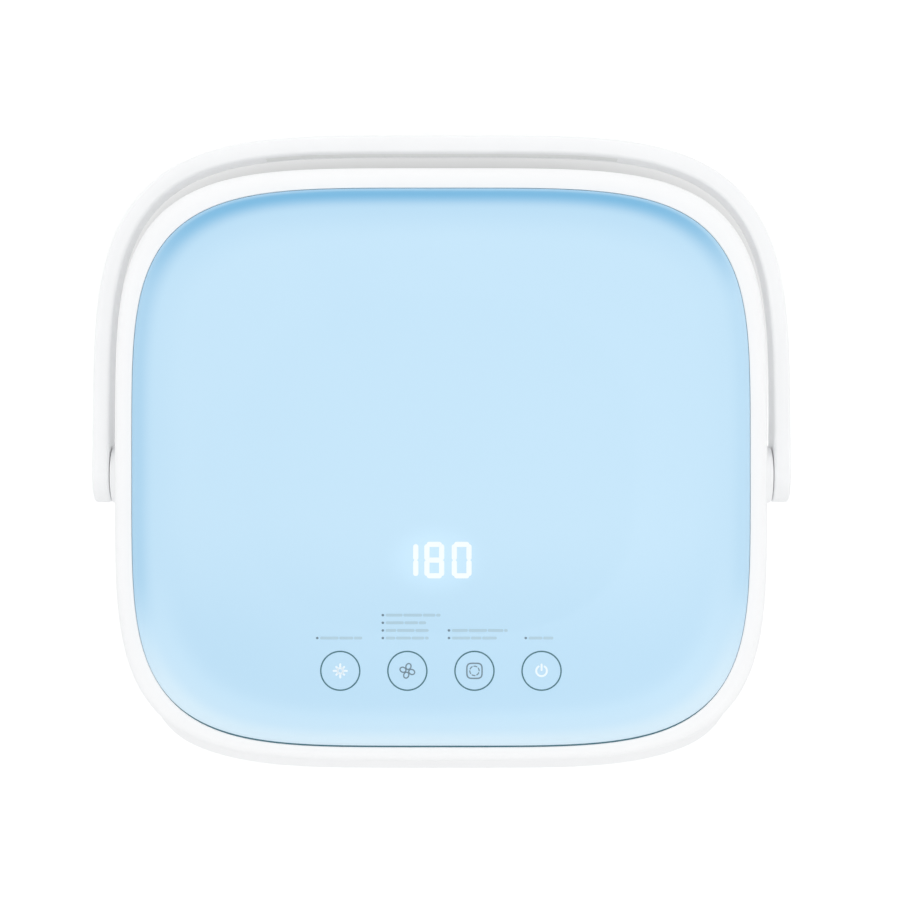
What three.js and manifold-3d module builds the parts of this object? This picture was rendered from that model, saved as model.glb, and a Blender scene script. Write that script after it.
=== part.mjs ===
// Ultraviolet sterilizer box for feeding bottles, built as the pieces that it comes apart into:
// a moulded body with a mirror-finish steel chamber and a warm-air dryer below the chamber floor,
// a domed lid with a touch panel and ultraviolet diodes behind quartz windows, and a carrying
// handle that lies round the rear of the lid and swings up to upright.
// Millimetres, +Z up, the front towards -Y. Run it with the npm packages three and manifold-3d.
import * as THREE from 'three';
import { mergeVertices } from 'three/addons/utils/BufferGeometryUtils.js';
import Module from 'manifold-3d';

const wasm = await Module();
wasm.setup();

// The lid's outline seen from above is a superellipse whose rear reaches a little further than its
// front. Every ring of the body and the lid lies inside that outline by some inset.
const lidHalfWidth = 130;
const lidRearReach = 119.3;
const lidFrontReach = 116.8;
const outlineExponent = 4.4;
const outlineSteps = 28;

// Heights, from the surface that the box stands on
const totalHeight = 250;
const lidHeight = 33;
const crownRise = 7;
const partingGap = 1;
const footHeight = 4;

// Clearances that all pieces share
const fitGap = 0.3;
const cutOverrun = 2;
const weldOverlap = 0.5;

// Sides of round shapes, by their size: posts and holes, bars and windows, bosses, and large rings
const postSides = 8;
const barSides = 10;
const bossSides = 12;
const ringSides = 18;
const nutSides = 6;
const smallArcSteps = 2;

// Lid frame: the white rim, tucked in at the parting line, with a lip to lift it at the front
const lidTuck = 3.5;
const lidWall = 2.5;
const landRadius = 4;
const liftLipReach = 5.6;
const liftLipThickness = 2;
const lipStartShare = 0.78;
const lipFullShare = 0.95;
const lidSideShares = [[0.45, 0.14], [0.03, 0.45], [0.09, 0.79]];
const landShares = [[0.35, 0.5], [1, 0.06]];
const lidFlangeThickness = 3.5;
const lidFlangeWidth = 20.5;

// Touch panel: a domed plate with a rolled edge, seated on the frame's ledge
const rimSideWidth = 7.3;
const rimFrontWidth = 6;
const panelThickness = 2.3;
const seamGap = 0.4;
const ledgeWidth = 6;
const ledgeThickness = 2;
const edgeRoll = 2.6;
const domePower = 3;
const rollPower = 50;
const panelTopShares = [1, 0.985, 0.965, 0.9, 0.75, 0.45];
const panelUndersideShares = [0.4, 0.75, 0.9];

// Gasket in a groove of the lid frame, pressed on the collar
const sealInset = 16;
const sealWidth = 3.4;
const sealGrooveDepth = 2;

// Inner cover of the lid, with its reflecting field and the windows for the diodes
const linerThickness = 1.5;
const linerRise = 5.5;
const linerLipWidth = 3.7;
const linerShoulder = 6;
const linerSlopeWidth = 7;
const uvRowOffset = 45;
const uvColumnPitch = 55;
const uvColumnCount = 3;
const uvPortRadius = 6;
const quartzRadius = 7.5;
const quartzThickness = 1.5;
const uvStripLength = 150;
const uvStripWidth = 22;
const circuitBoardThickness = 1.6;
const diodeSize = 3.5;
const diodeHeight = 1;
const diodeClearance = 0.8;
const linerStudRadius = 2.5;

// Control board, display and touch springs behind the panel
const keyPitch = 26.5;
const keyRowInset = 30.5;
const displayRise = 43.1;
const controlBoardHalfWidth = 60;
const controlBoardFrontMargin = 14.7;
const controlBoardRearMargin = 15.2;
const controlBoardDrop = 3;
const boardPostRadius = 3;
const boardPostMargin = 5;
const displayWidth = 38;
const displayDepth = 19;
const displayHeight = 7.5;
const springRadius = 4;
const springWire = 0.9;
const springTurns = 2.5;
const springStepsPerTurn = 6;
const touchKeys = 4;
const processorSize = 12;
const processorHeight = 1.4;
const beeperRadius = 5;
const beeperHeight = 4;

// Closure: magnets in the lid over steel strikes in the collar, and the lamp interlock between them
const magnetSpacing = 90;
const magnetInset = 8.7;
const magnetWidth = 16;
const magnetDepth = 5;
const magnetThickness = 2;
const strikeThickness = 1.2;
const interlockInset = 10.8;
const interlockRadius = 2;
const hallSize = 3;
const hallLeads = 1.5;
const hallHeight = 8;

// Outer shell: drafted walls, a rounded foot edge and a ledge that the base plate closes
const bodyDraft = 4;
const shellWall = 2.5;
const wallCutDepth = 3 * shellWall;
const footEdgeRadius = 18;
const footEdgeSteps = 3;
const footFlat = 2;
const shellLedge = 8;
const basePlateThickness = 2.5;
const topRounding = 0.8;
const screwBossRadius = 4;
const screwBossHeight = 6;
const exhaustSlots = 7;
const exhaustPitch = 8;
const exhaustWidth = 3;
const exhaustHeight = 24;
const exhaustBottom = 24;

// Collar: joins shell and chamber, and carries the body half of the hinges
const collarPlate = 2.6;
const collarSpigotDepth = 8;
const collarSpigotWall = 2;
const collarWidth = 17.2;

// Chamber: deep drawn steel sheet with a flange under the collar, above the bay for fan and heater
const bayHeight = 60;
const tankSheet = 0.8;
const tankFlange = 6;
const tankBend = 1.5;
const tankDraft = 2;
const tankCorner = 10;
const tankCornerSteps = 2;
const grilleOpeningRadius = 38;
const returnSlots = 3;
const returnSlotPitch = 24;
const returnSlotWidth = 3.5;
const returnSlotLength = 18;
const returnSlotWallGap = 33.8;
const floorStudRadius = 1.6;
const floorStudMargin = 3.2;
const floorBoardLength = 40;
const floorBoardWidth = 22;

// Air outlet in the chamber floor
const grilleFlange = 4;
const grilleThickness = 2;
const grilleSpigot = 3;
const grilleSpigotWall = 2;
const grilleSlots = 7;
const grilleSlotWidth = 4;
const grilleSlotPitch = 9;
const grilleSlotMargin = 4;

// Fan, its rotor, the heating block and the duct that joins them to the grille
const fanSize = 80;
const fanDepth = 15;
const fanBore = 76;
const fanCornerRadius = 5;
const fanHoleSpacing = 71.5;
const fanHoleRadius = 2.2;
const fanStandoff = 4;
const fanPostRadius = 4;
const statorRadius = 15;
const statorThickness = 2.5;
const strutWidth = 4;
const fanStruts = 4;
const rotorHubRadius = 14.5;
const rotorClearance = 0.8;
const rotorHubHeight = 10.5;
const shaftRadius = 1.5;
const shaftClearance = 0.1;
const fanBlades = 7;
const bladeThickness = 1.2;
const bladeTipGap = 1.2;
const bladeRootPitch = 40;
const bladeTipPitch = 26;
const bladeSpan = 36;
const bladeStations = 3;
const bladeRise = 7;
const ductWall = 2;
const ductFlange = 5;
const ductFlangeThickness = 2;
const ductLedge = 3;
const ductLedgeThickness = 2;
const heaterDrop = 10;
const heaterRing = 3;
const heaterRingHeight = 3;
const heaterHeight = 14;
const heaterBars = 3;
const heaterBarWidth = 5;
const heaterBarSpacing = 18;
const finThickness = 0.8;
const finPitch = 8;
const finReach = 26;

// Driver board and the low voltage inlet at the rear
const powerBoardWallGap = 5.5;
const powerBoardFanGap = 11;
const powerBoardLength = 76;
const componentPitch = 19;
const powerPostHeight = 6;
const powerPostRadius = 2.5;
const powerPostMargin = 5;
const capacitorRadius = 5;
const capacitorHeight = 14;
const chokeSize = 14;
const chokeHeight = 11;
const terminalLength = 20;
const terminalDepth = 8;
const terminalHeight = 9;
const jackOffset = 44;
const jackRise = 32;
const jackRadius = 5.5;
const jackFlangeRadius = 8;
const jackFlangeThickness = 1.5;
const jackLength = 16;
const jackBore = 3;
const jackBoreDepth = 9;
const jackPinRadius = 1;
const jackNutRadius = 8;
const jackNutThickness = 3;

// Feet and base screws
const footRadius = 10;
const footSides = 12;
const footTaper = 1;
const footRounding = 0.8;
const footRecess = 0.8;
const footMargin = 3;
const intakeSlots = 7;
const intakeSlotPitch = 9;
const intakeSlotWidth = 3.6;
const intakeMargin = 4;
const screwHeadRadius = 3;
const screwHeadHeight = 1.5;
const screwRadius = 1.4;
const screwLength = 8;

// Hinges at the rear of the parting line
const hingeSideMargin = 75;
const hingeRadius = 3.3;
const knuckleLength = 16;
const earLength = 8;
const knuckleGap = 0.5;
const sweepGap = 0.4;
const hingePinRadius = 1.5;
const hingePinClearance = 0.15;

// Handle and its mounts on the sides of the body
const pivotSetback = 3.3;
const pivotDrop = 55;
const handleSideGap = 7;
const handleRearGap = 10;
const armThickness = 7;
const gripThickness = 7.4;
const bossRadius = 11.5;
const armHeight = 18;
const gripHeight = 20;
const bossBlendShare = 1 / 3;
const handleRounding = 2.2;
const bossRounding = 1.1;
const handleSteps = 24;
const gripStepsEachSide = 2;
const gripInsetDepth = 1.8;
const gripInsetHeight = 12;
const gripRounding = 0.5;
const journalRadius = 5;
const journalClearance = 0.3;
const mountRootRadius = 14;
const mountTipRadius = 11.5;
const spigotRadius = 6;
const spigotReach = 7;
const nutRadius = 10;
const nutThickness = 4;
const capRadius = 8;
const capThickness = 2;
const capShankRadius = 2;
const capShankLength = 6;

// Rack of round wire that stands on the chamber floor
const rackHeight = 10;
const rackMargin = 2.5;
const rackWire = 3;
const rackBarWire = 2.4;
const rackBars = 9;
const rackBarRise = 0.4;
const rackLegRadius = 1.8;
const wireSides = 4;
const rackLegInset = 18;

// Heights, reaches and insets that follow from the sizes above
const panelHalfWidth = lidHalfWidth - rimSideWidth;
const panelHalfDepth = lidFrontReach - rimFrontWidth;
const handleInnerHalf = lidHalfWidth + handleSideGap;
const handleInnerReach = lidRearReach + pivotSetback + handleRearGap;
const pivotHeight = totalHeight - pivotDrop;
const partingLine = totalHeight - lidHeight;
const rimLand = totalHeight - crownRise;
const collarTop = partingLine - partingGap;
const collarUnderside = collarTop - collarPlate;
const shellTop = collarUnderside - fitGap;
const baseBottom = footHeight;
const basePlateTop = baseBottom + basePlateThickness;
const ledgeBottom = basePlateTop + fitGap;
const ledgeTop = ledgeBottom + shellWall;
const panelSeat = rimLand - panelThickness;
const ledgeSurface = panelSeat - fitGap;
const flangeTop = partingLine + lidFlangeThickness;
const bodyInset = (height) => lidTuck + bodyDraft * (shellTop - height) / (shellTop - baseBottom);
const footFlatInset = bodyInset(baseBottom) + footEdgeRadius;
const rebateInset = footFlatInset + footFlat;
const ledgeInset = rebateInset + shellLedge;
const screwInset = rebateInset + shellLedge / 2;
const footInset = rebateInset + footMargin + footRadius;
const tankInset = lidTuck + collarWidth + fitGap;
const floorTop = footHeight + bayHeight;
const floorBottom = floorTop - tankSheet;
const ductReach = fanBore / 2 + ductWall + ductFlange;
const floorWindowOffset = (ductReach + lidHalfWidth - tankInset - tankCorner) / 2;
const returnSlotOffset = lidFrontReach - tankInset - returnSlotWallGap;
const tankFlangeTop = collarUnderside - fitGap;
const floorQuartzBottom = floorBottom - fitGap - quartzThickness;
const floorBoardTop = floorQuartzBottom - diodeClearance - diodeHeight;
const linerInset = lidTuck + lidFlangeWidth - linerLipWidth;
const linerTop = partingLine + linerRise + linerThickness;
const quartzBottom = linerTop + fitGap;
const uvStripBottom = quartzBottom + quartzThickness + diodeClearance + diodeHeight;
const keyRow = keyRowInset - panelHalfDepth;
const displayRow = keyRow + displayRise;
const controlBoardFront = keyRow - controlBoardFrontMargin;
const controlBoardRear = displayRow + controlBoardRearMargin;
const controlBoardTop = panelSeat - controlBoardDrop;
const controlBoardBottom = controlBoardTop - circuitBoardThickness;
const fanBottom = basePlateTop + fanStandoff + fitGap;
const fanTop = fanBottom + fanDepth;
const ductBottom = fanTop + fitGap;
const ductTop = floorBottom - fitGap;
const heaterSeat = ductBottom + heaterDrop;
const powerBoardSpan = [
  fanSize / 2 + powerBoardFanGap,
  lidHalfWidth - ledgeInset - powerBoardWallGap,
];
const powerBoardOffset = (powerBoardSpan[0] + powerBoardSpan[1]) / 2;
const powerBoardWidth = powerBoardSpan[1] - powerBoardSpan[0];
const hingeSpacing = 2 * (lidHalfWidth - hingeSideMargin);
const hingeAxisY = lidRearReach - hingeRadius;
const hingeAxisZ = partingLine;
const pivotY = -pivotSetback;

// Outlines
const lidShape = { half: lidHalfWidth, rear: lidRearReach, front: lidFrontReach };
const panelShape = { half: panelHalfWidth, rear: panelHalfDepth, front: panelHalfDepth };
const handleShape = { half: handleInnerHalf, rear: handleInnerReach, front: handleInnerReach };
const smoothShare = (share) => THREE.MathUtils.smoothstep(share, 0, 1);

// The point of a superellipse at a turn, with its outward normal. frontShare is 1 along the middle
// of the front, where the lift lip is, and fades to 0 before the corners.
function outlinePoint(shape, turn) {
  const power = 2 / outlineExponent;
  const cos = Math.cos(turn);
  const sin = Math.sin(turn);
  const reach = sin < 0 ? shape.front : shape.rear;
  const normal = new THREE.Vector2(
    Math.sign(cos) * Math.abs(cos) ** (2 - power) / shape.half,
    Math.sign(sin) * Math.abs(sin) ** (2 - power) / reach,
  ).normalize();
  return {
    x: shape.half * Math.sign(cos) * Math.abs(cos) ** power,
    y: reach * Math.sign(sin) * Math.abs(sin) ** power,
    normal,
    frontShare: smoothShare((-sin - lipStartShare) / (lipFullShare - lipStartShare)),
  };
}

// A point inside the outline by an inset, such as the place of a foot or a screw.
function insetPoint(shape, turn, inset) {
  const point = outlinePoint(shape, turn);
  return new THREE.Vector2(point.x, point.y).addScaledVector(point.normal, -inset);
}

// One closed ring of points. The inset is a length, or a function of the outline's point.
function insetRing(shape, inset, height) {
  return Array.from({ length: outlineSteps }, (_, step) => {
    const point = outlinePoint(shape, (2 * Math.PI * step) / outlineSteps);
    const depth = typeof inset === 'function' ? inset(point) : inset;
    const { x, y } = new THREE.Vector2(point.x, point.y).addScaledVector(point.normal, -depth);
    return new THREE.Vector3(x, y, height);
  });
}

// The same ring drawn in towards the centre by a share of the outline, for domes.
function scaledRing(shape, share, height) {
  return insetRing(shape, 0, height).map((p) => new THREE.Vector3(p.x * share, p.y * share, height));
}

// Solids. A closed triangle mesh becomes one that can be joined and cut.
function closedSolid(positions, faces) {
  const build = (triangles) => new wasm.Manifold(new wasm.Mesh({
    numProp: 3,
    vertProperties: Float32Array.from(positions),
    triVerts: Uint32Array.from(triangles),
  }));
  const solid = build(faces);
  return solid.volume() < 0 ? build([...faces].reverse()) : solid;
}

function solidOf(geometry) {
  const bare = geometry.clone();
  bare.deleteAttribute('normal');
  bare.deleteAttribute('uv');
  const merged = mergeVertices(bare);
  return closedSolid(merged.attributes.position.array, merged.index.array);
}

// Rings joined one after another. Without ends the last ring joins the first, as in a frame;
// with two ends each outer ring closes to its end point, as in a plate or a bar.
function loft(rings, ends = []) {
  const count = rings[0].length;
  const points = [...rings.flat(), ...ends];
  const faces = [];
  const bands = ends.length ? rings.length - 1 : rings.length;
  for (let band = 0; band < bands; band++) {
    const low = band * count;
    const high = ((band + 1) % rings.length) * count;
    for (let step = 0; step < count; step++) {
      const next = (step + 1) % count;
      faces.push(low + step, low + next, high + next, low + step, high + next, high + step);
    }
  }
  const lastRing = (rings.length - 1) * count;
  for (let step = 0; ends.length && step < count; step++) {
    const next = (step + 1) % count;
    faces.push(rings.length * count, next, step);
    faces.push(rings.length * count + 1, lastRing + step, lastRing + next);
  }
  return closedSolid(points.flatMap((p) => [p.x, p.y, p.z]), faces);
}

const frameOf = (sections) => loft(sections.map((s) => insetRing(...s)));

function plateOf(sections, bottomHeight, topHeight) {
  const ends = [new THREE.Vector3(0, 0, bottomHeight), new THREE.Vector3(0, 0, topHeight)];
  return loft(sections.map((s) => insetRing(...s)), ends);
}

function block([x0, x1], [y0, y1], [z0, z1]) {
  const geometry = new THREE.BoxGeometry(x1 - x0, y1 - y0, z1 - z0);
  return solidOf(geometry.translate((x0 + x1) / 2, (y0 + y1) / 2, (z0 + z1) / 2));
}

const around = (centre, width) => [centre - width / 2, centre + width / 2];

// Round bars along each axis: from one end to the other along it, at two places across it.
function barZ(radius, [z0, z1], x = 0, y = 0, sides = barSides) {
  const geometry = new THREE.CylinderGeometry(radius, radius, z1 - z0, sides);
  return solidOf(geometry.rotateX(Math.PI / 2).translate(x, y, (z0 + z1) / 2));
}

function barX(radius, [x0, x1], y, z, sides = barSides) {
  const geometry = new THREE.CylinderGeometry(radius, radius, x1 - x0, sides);
  return solidOf(geometry.rotateZ(Math.PI / 2).translate((x0 + x1) / 2, y, z));
}

function barY(radius, [y0, y1], x, z, sides = barSides) {
  const geometry = new THREE.CylinderGeometry(radius, radius, y1 - y0, sides);
  return solidOf(geometry.translate(x, (y0 + y1) / 2, z));
}

// A turned piece: its profile is a list of [radius, height] about the Z axis.
function turnedGeometry(profile, sides) {
  const points = profile.map(([radius, height]) => new THREE.Vector2(radius, height));
  return new THREE.LatheGeometry(points, sides).rotateX(Math.PI / 2);
}

const turned = (profile, sides = ringSides) => solidOf(turnedGeometry(profile, sides));
const joined = (first, ...others) => others.reduce((sum, solid) => sum.add(solid), first);
const cut = (first, ...tools) => tools.reduce((rest, tool) => rest.subtract(tool), first);
const countUp = (count) => Array.from({ length: count }, (_, index) => index);
const centred = (count, pitch) => countUp(count).map((index) => (index - (count - 1) / 2) * pitch);
const middleOf = (points) => points.reduce((sum, point) => sum.add(point), new THREE.Vector3())
  .divideScalar(points.length);

// The same solid on the other side of the middle plane.
function mirrored(solid) {
  const { vertProperties, triVerts } = solid.getMesh();
  const flipped = vertProperties.map((value, index) => (index % 3 ? value : -value));
  return closedSolid(flipped, triVerts);
}

// Finishes
const whitePlastic = { color: 0xf8f9fa, roughness: 0.32, metalness: 0 };
const blueGloss = { color: 0xc4e2f8, roughness: 0.12, metalness: 0 };
const mirrorSteel = { color: 0xd9dce0, roughness: 0.08, metalness: 1 };
const plainSteel = { color: 0xb9bcc0, roughness: 0.3, metalness: 1 };
const greyRubber = { color: 0x8d9296, roughness: 0.85, metalness: 0 };
const clearSilicone = { color: 0xe4ebee, roughness: 0.6, metalness: 0 };
const blackPlastic = { color: 0x1f2225, roughness: 0.5, metalness: 0 };
const greenBoard = { color: 0x1f5c3a, roughness: 0.45, metalness: 0 };
const boardWhite = { color: 0xeceeea, roughness: 0.5, metalness: 0 };
const quartz = { color: 0xdfe9f5, roughness: 0.03, metalness: 0 };
const heaterAluminium = { color: 0xaeb2b5, roughness: 0.4, metalness: 1 };
const magnetNickel = { color: 0xc9cac8, roughness: 0.2, metalness: 1 };
const gripSoft = { color: 0xe9edf0, roughness: 0.75, metalness: 0 };

const sterilizer = new THREE.Group();

function addPiece(name, solid, finish) {
  const { vertProperties, triVerts } = solid.getMesh();
  const geometry = new THREE.BufferGeometry();
  geometry.setAttribute('position', new THREE.BufferAttribute(vertProperties, 3));
  geometry.setIndex(new THREE.BufferAttribute(triVerts, 1));
  geometry.computeVertexNormals();
  const mesh = new THREE.Mesh(geometry, new THREE.MeshStandardMaterial(finish));
  mesh.name = name;
  sterilizer.add(mesh);
}

const sides = [['left', -1], ['right', 1]];
const uvRows = [['front', -1], ['rear', 1]];
const quarters = [[1, 1], [-1, 1], [-1, -1], [1, -1]];

// Lid

// Height of the panel's top face at a share of the way from its centre to its edge: a gentle dome
// that rolls down steeply in the last few millimetres.
const dome = crownRise - edgeRoll;
const panelTop = (share) => totalHeight - dome * share ** domePower - edgeRoll * share ** rollPower;
const panelUnderside = (share) => panelTop(share) - panelThickness;

// The share of the way from the centre to the outline that a place lies at.
function shareAt(shape, x, y) {
  const across = (Math.abs(x) / shape.half) ** outlineExponent;
  const along = (Math.abs(y) / (y < 0 ? shape.front : shape.rear)) ** outlineExponent;
  return (across + along) ** (1 / outlineExponent);
}

function lidFrame() {
  const wallHeight = rimLand - partingLine;
  const withLip = (tuck, reach) => (point) => THREE.MathUtils.lerp(tuck, -reach, point.frontShare);
  const outer = [
    [lidShape, withLip(lidTuck, liftLipReach - topRounding), partingLine],
    [lidShape, withLip(lidTuck * (1 - lidSideShares[0][1]), liftLipReach), partingLine + topRounding],
    ...lidSideShares.map(([tuckShare, heightShare], index) => [
      lidShape,
      withLip(lidTuck * tuckShare, index ? -lidTuck * tuckShare : liftLipReach / 2),
      partingLine + (index ? 0 : liftLipThickness) + wallHeight * heightShare,
    ]),
    ...landShares.map(([insetShare, dropShare]) =>
      [lidShape, landRadius * insetShare, rimLand - landRadius * dropShare]),
  ];
  const seat = [
    [panelShape, -seamGap, rimLand],
    [panelShape, -seamGap, ledgeSurface],
    [panelShape, ledgeWidth, ledgeSurface],
    [panelShape, ledgeWidth, ledgeSurface - ledgeThickness],
  ];
  const [tuckShare, heightShare] = lidSideShares[lidSideShares.length - 1];
  const inner = [
    [lidShape, lidWall + lidTuck * tuckShare, partingLine + wallHeight * heightShare - ledgeThickness],
  ];
  const linerRoof = partingLine + linerThickness + fitGap;
  const grooveRoof = partingLine + sealGrooveDepth;
  const grooveHalf = sealWidth / 2 + fitGap;
  const flange = [
    [lidShape, lidWall + lidTuck, flangeTop],
    [lidShape, lidTuck + lidFlangeWidth, flangeTop],
    [lidShape, lidTuck + lidFlangeWidth, linerRoof],
    [lidShape, linerInset - fitGap, linerRoof],
    [lidShape, linerInset - fitGap, partingLine],
    [lidShape, sealInset + grooveHalf, partingLine],
    [lidShape, sealInset + grooveHalf, grooveRoof],
    [lidShape, sealInset - grooveHalf, grooveRoof],
    [lidShape, sealInset - grooveHalf, partingLine],
  ];
  let frame = frameOf([...outer, ...seat, ...inner, ...flange]);
  for (const [, side] of sides) {
    const centre = side * hingeSpacing / 2;
    frame = hingeHalf(frame, [around(centre, knuckleLength)], earSpans(centre), 1);
    frame = cut(frame, magnetSpace(side * magnetSpacing / 2, fitGap));
  }
  return cut(frame, interlockSpace(fitGap));
}

// Hinges: the lid has one knuckle between the collar's two ears, and each half is cleared where the
// other one turns. upwards is 1 for the lid, whose knuckle hangs from above, and -1 for the collar.
function earSpans(centre) {
  const inner = knuckleLength / 2 + knuckleGap;
  return [
    [centre - inner - earLength, centre - inner],
    [centre + inner, centre + inner + earLength],
  ];
}

function hingeHalf(solid, ownSpans, otherSpans, upwards) {
  const web = upwards * (lidFlangeThickness - topRounding);
  const clear = knuckleGap / 2;
  let result = solid;
  for (const [low, high] of otherSpans) {
    const space = [low - clear, high + clear];
    result = cut(result, barX(hingeRadius + sweepGap, space, hingeAxisY, hingeAxisZ));
  }
  for (const span of ownSpans) {
    const foot = [hingeAxisY - hingeRadius, hingeAxisY];
    const rise = [Math.min(hingeAxisZ, hingeAxisZ + web), Math.max(hingeAxisZ, hingeAxisZ + web)];
    result = joined(result, barX(hingeRadius, span, hingeAxisY, hingeAxisZ), block(span, foot, rise));
    const bore = [span[0] - clear, span[1] + clear];
    result = cut(result, barX(hingePinRadius + hingePinClearance, bore, hingeAxisY, hingeAxisZ));
  }
  return result;
}

// Magnets and strikes lie one above the other, at the same place of the front edge.
const closureY = (inset) => inset - lidFrontReach;

function magnetSpace(x, gap) {
  return block(
    around(x, magnetWidth + 2 * gap),
    around(closureY(magnetInset), magnetDepth + 2 * gap),
    [partingLine - (gap ? cutOverrun : 0), partingLine + magnetThickness + gap],
  );
}

function strikeSpace(x, gap) {
  return block(
    around(x, magnetWidth + 2 * gap),
    around(closureY(magnetInset), magnetDepth + 2 * gap),
    [collarTop - strikeThickness - gap, collarTop + (gap ? cutOverrun : 0)],
  );
}

function interlockSpace(gap) {
  const height = [partingLine - (gap ? cutOverrun : 0), partingLine + magnetThickness + gap];
  return barZ(interlockRadius + gap, height, 0, closureY(interlockInset));
}

// The panel has four posts on its underside that the control board is screwed to.
function lidPanel() {
  const underside = panelUndersideShares.map((share) =>
    scaledRing(panelShape, share, panelUnderside(share)));
  const seat = [
    insetRing(panelShape, ledgeWidth + seamGap, panelSeat),
    insetRing(panelShape, 0, panelSeat),
  ];
  const top = panelTopShares.map((share) => scaledRing(panelShape, share, panelTop(share)));
  const ends = [panelUnderside(0), panelTop(0)].map((height) => new THREE.Vector3(0, 0, height));
  const panel = loft([...underside, ...seat, ...top], ends);
  const posts = boardPostPlaces().map(([x, y]) => {
    const postTop = panelUnderside(shareAt(panelShape, x, y)) + panelThickness / 2;
    return barZ(boardPostRadius, [controlBoardTop + fitGap, postTop], x, y, postSides);
  });
  return joined(panel, ...posts);
}

function boardPostPlaces() {
  const x = controlBoardHalfWidth - boardPostMargin;
  const ys = [controlBoardFront + boardPostMargin, controlBoardRear - boardPostMargin];
  return ys.flatMap((y) => [[-x, y], [x, y]]);
}

function lidSeal() {
  const half = sealWidth / 2;
  const top = partingLine + sealGrooveDepth - fitGap;
  const tip = collarTop + fitGap;
  return frameOf([
    [lidShape, sealInset - half, top],
    [lidShape, sealInset - half, partingLine],
    [lidShape, sealInset, tip],
    [lidShape, sealInset + half, partingLine],
    [lidShape, sealInset + half, top],
  ]);
}

// The liner rises behind its lip to a flat field, with a port for each diode and studs for the boards.
const uvColumns = centred(uvColumnCount, uvColumnPitch);

function lidLiner() {
  const underside = partingLine + linerRise;
  const innerSlope = linerInset + linerShoulder + linerSlopeWidth;
  const liner = plateOf([
    [lidShape, innerSlope + linerThickness, underside],
    [lidShape, linerInset + linerShoulder + linerThickness, partingLine],
    [lidShape, linerInset, partingLine],
    [lidShape, linerInset, partingLine + linerThickness],
    [lidShape, linerInset + linerShoulder, partingLine + linerThickness],
    [lidShape, innerSlope, linerTop],
  ], underside, linerTop);
  const studs = [];
  const ports = [];
  for (const [, row] of uvRows) {
    const y = row * uvRowOffset;
    const through = [underside - cutOverrun, linerTop + cutOverrun];
    ports.push(...uvColumns.map((x) => barZ(uvPortRadius, through, x, y, postSides)));
    const height = [linerTop - weldOverlap, uvStripBottom - fitGap];
    studs.push(...sides.map(([, side]) =>
      barZ(linerStudRadius, height, side * uvColumnPitch / 2, y, nutSides)));
  }
  return cut(joined(liner, ...studs), ...ports);
}

// A strip of diodes: a thin board with square packages that look down through the windows.
function diodeBoard(xSpan, ySpan, bottom, places) {
  const board = block(xSpan, ySpan, [bottom, bottom + circuitBoardThickness]);
  const diodes = places.map(([x, y, towards]) => {
    const low = towards < 0 ? bottom - diodeHeight : bottom + circuitBoardThickness - weldOverlap;
    const high = low + diodeHeight + weldOverlap;
    return block(around(x, diodeSize), around(y, diodeSize), [low, high]);
  });
  return joined(board, ...diodes);
}

function controlBoard() {
  const width = [-controlBoardHalfWidth, controlBoardHalfWidth];
  const depth = [controlBoardFront, controlBoardRear];
  const board = block(width, depth, [controlBoardBottom, controlBoardTop]);
  const underSide = controlBoardBottom + weldOverlap;
  const beside = displayWidth / 2 + beeperRadius;
  const processor = block(
    around(0, processorSize),
    around(displayRow, processorSize),
    [controlBoardBottom - processorHeight, underSide],
  );
  const beeper = barZ(
    beeperRadius,
    [controlBoardBottom - beeperHeight, underSide],
    beside,
    displayRow,
  );
  return joined(board, processor, beeper);
}

class Helix extends THREE.Curve {
  constructor(radius, turns, bottom, top, x, y) {
    super();
    Object.assign(this, { radius, turns, bottom, top, x, y });
  }

  getPoint(share, target = new THREE.Vector3()) {
    const turn = 2 * Math.PI * this.turns * share;
    return target.set(
      this.x + this.radius * Math.cos(turn),
      this.y + this.radius * Math.sin(turn),
      THREE.MathUtils.lerp(this.bottom, this.top, share),
    );
  }
}

// A touch spring stands on the board and presses its top turn to the panel's underside.
function touchSpring(x) {
  const wireRadius = springWire / 2;
  const share = shareAt(panelShape, x, keyRow);
  const bottom = controlBoardTop + fitGap + springWire;
  const top = panelUnderside(share) - fitGap - springWire;
  const wire = new THREE.Shape();
  wire.absarc(0, 0, wireRadius, 0, 2 * Math.PI);
  const path = new Helix(springRadius - wireRadius, springTurns, bottom, top, x, keyRow);
  const options = {
    steps: springTurns * springStepsPerTurn,
    extrudePath: path,
    bevelEnabled: false,
    curveSegments: smallArcSteps,
  };
  return solidOf(new THREE.ExtrudeGeometry(wire, options));
}

function buildLid() {
  addPiece('lid_frame', lidFrame(), whitePlastic);
  addPiece('lid_panel', lidPanel(), blueGloss);
  addPiece('lid_seal', lidSeal(), clearSilicone);
  addPiece('lid_liner', lidLiner(), mirrorSteel);
  addPiece('control_board', controlBoard(), greenBoard);
  const displayBottom = controlBoardTop + fitGap;
  addPiece('display_module', block(
    around(0, displayWidth),
    around(displayRow, displayDepth),
    [displayBottom, displayBottom + displayHeight],
  ), blackPlastic);
  centred(touchKeys, keyPitch).forEach((x, index) =>
    addPiece(`touch_spring_${index + 1}`, touchSpring(x), plainSteel));
  for (const [place, row] of uvRows) {
    const y = row * uvRowOffset;
    const looksDown = uvColumns.map((x) => [x, y, -1]);
    const strip = diodeBoard(
      around(0, uvStripLength), around(y, uvStripWidth), uvStripBottom, looksDown);
    addPiece(`lid_uv_board_${place}`, strip, boardWhite);
    const height = [quartzBottom, quartzBottom + quartzThickness];
    uvColumns.forEach((x, index) => addPiece(
      `lid_uv_window_${place}_${index + 1}`, barZ(quartzRadius, height, x, y), quartz));
  }
  for (const [place, side] of sides) {
    addPiece(`lid_magnet_${place}`, magnetSpace(side * magnetSpacing / 2, 0), magnetNickel);
  }
  addPiece('interlock_magnet', interlockSpace(0), magnetNickel);
}

// Body

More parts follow.
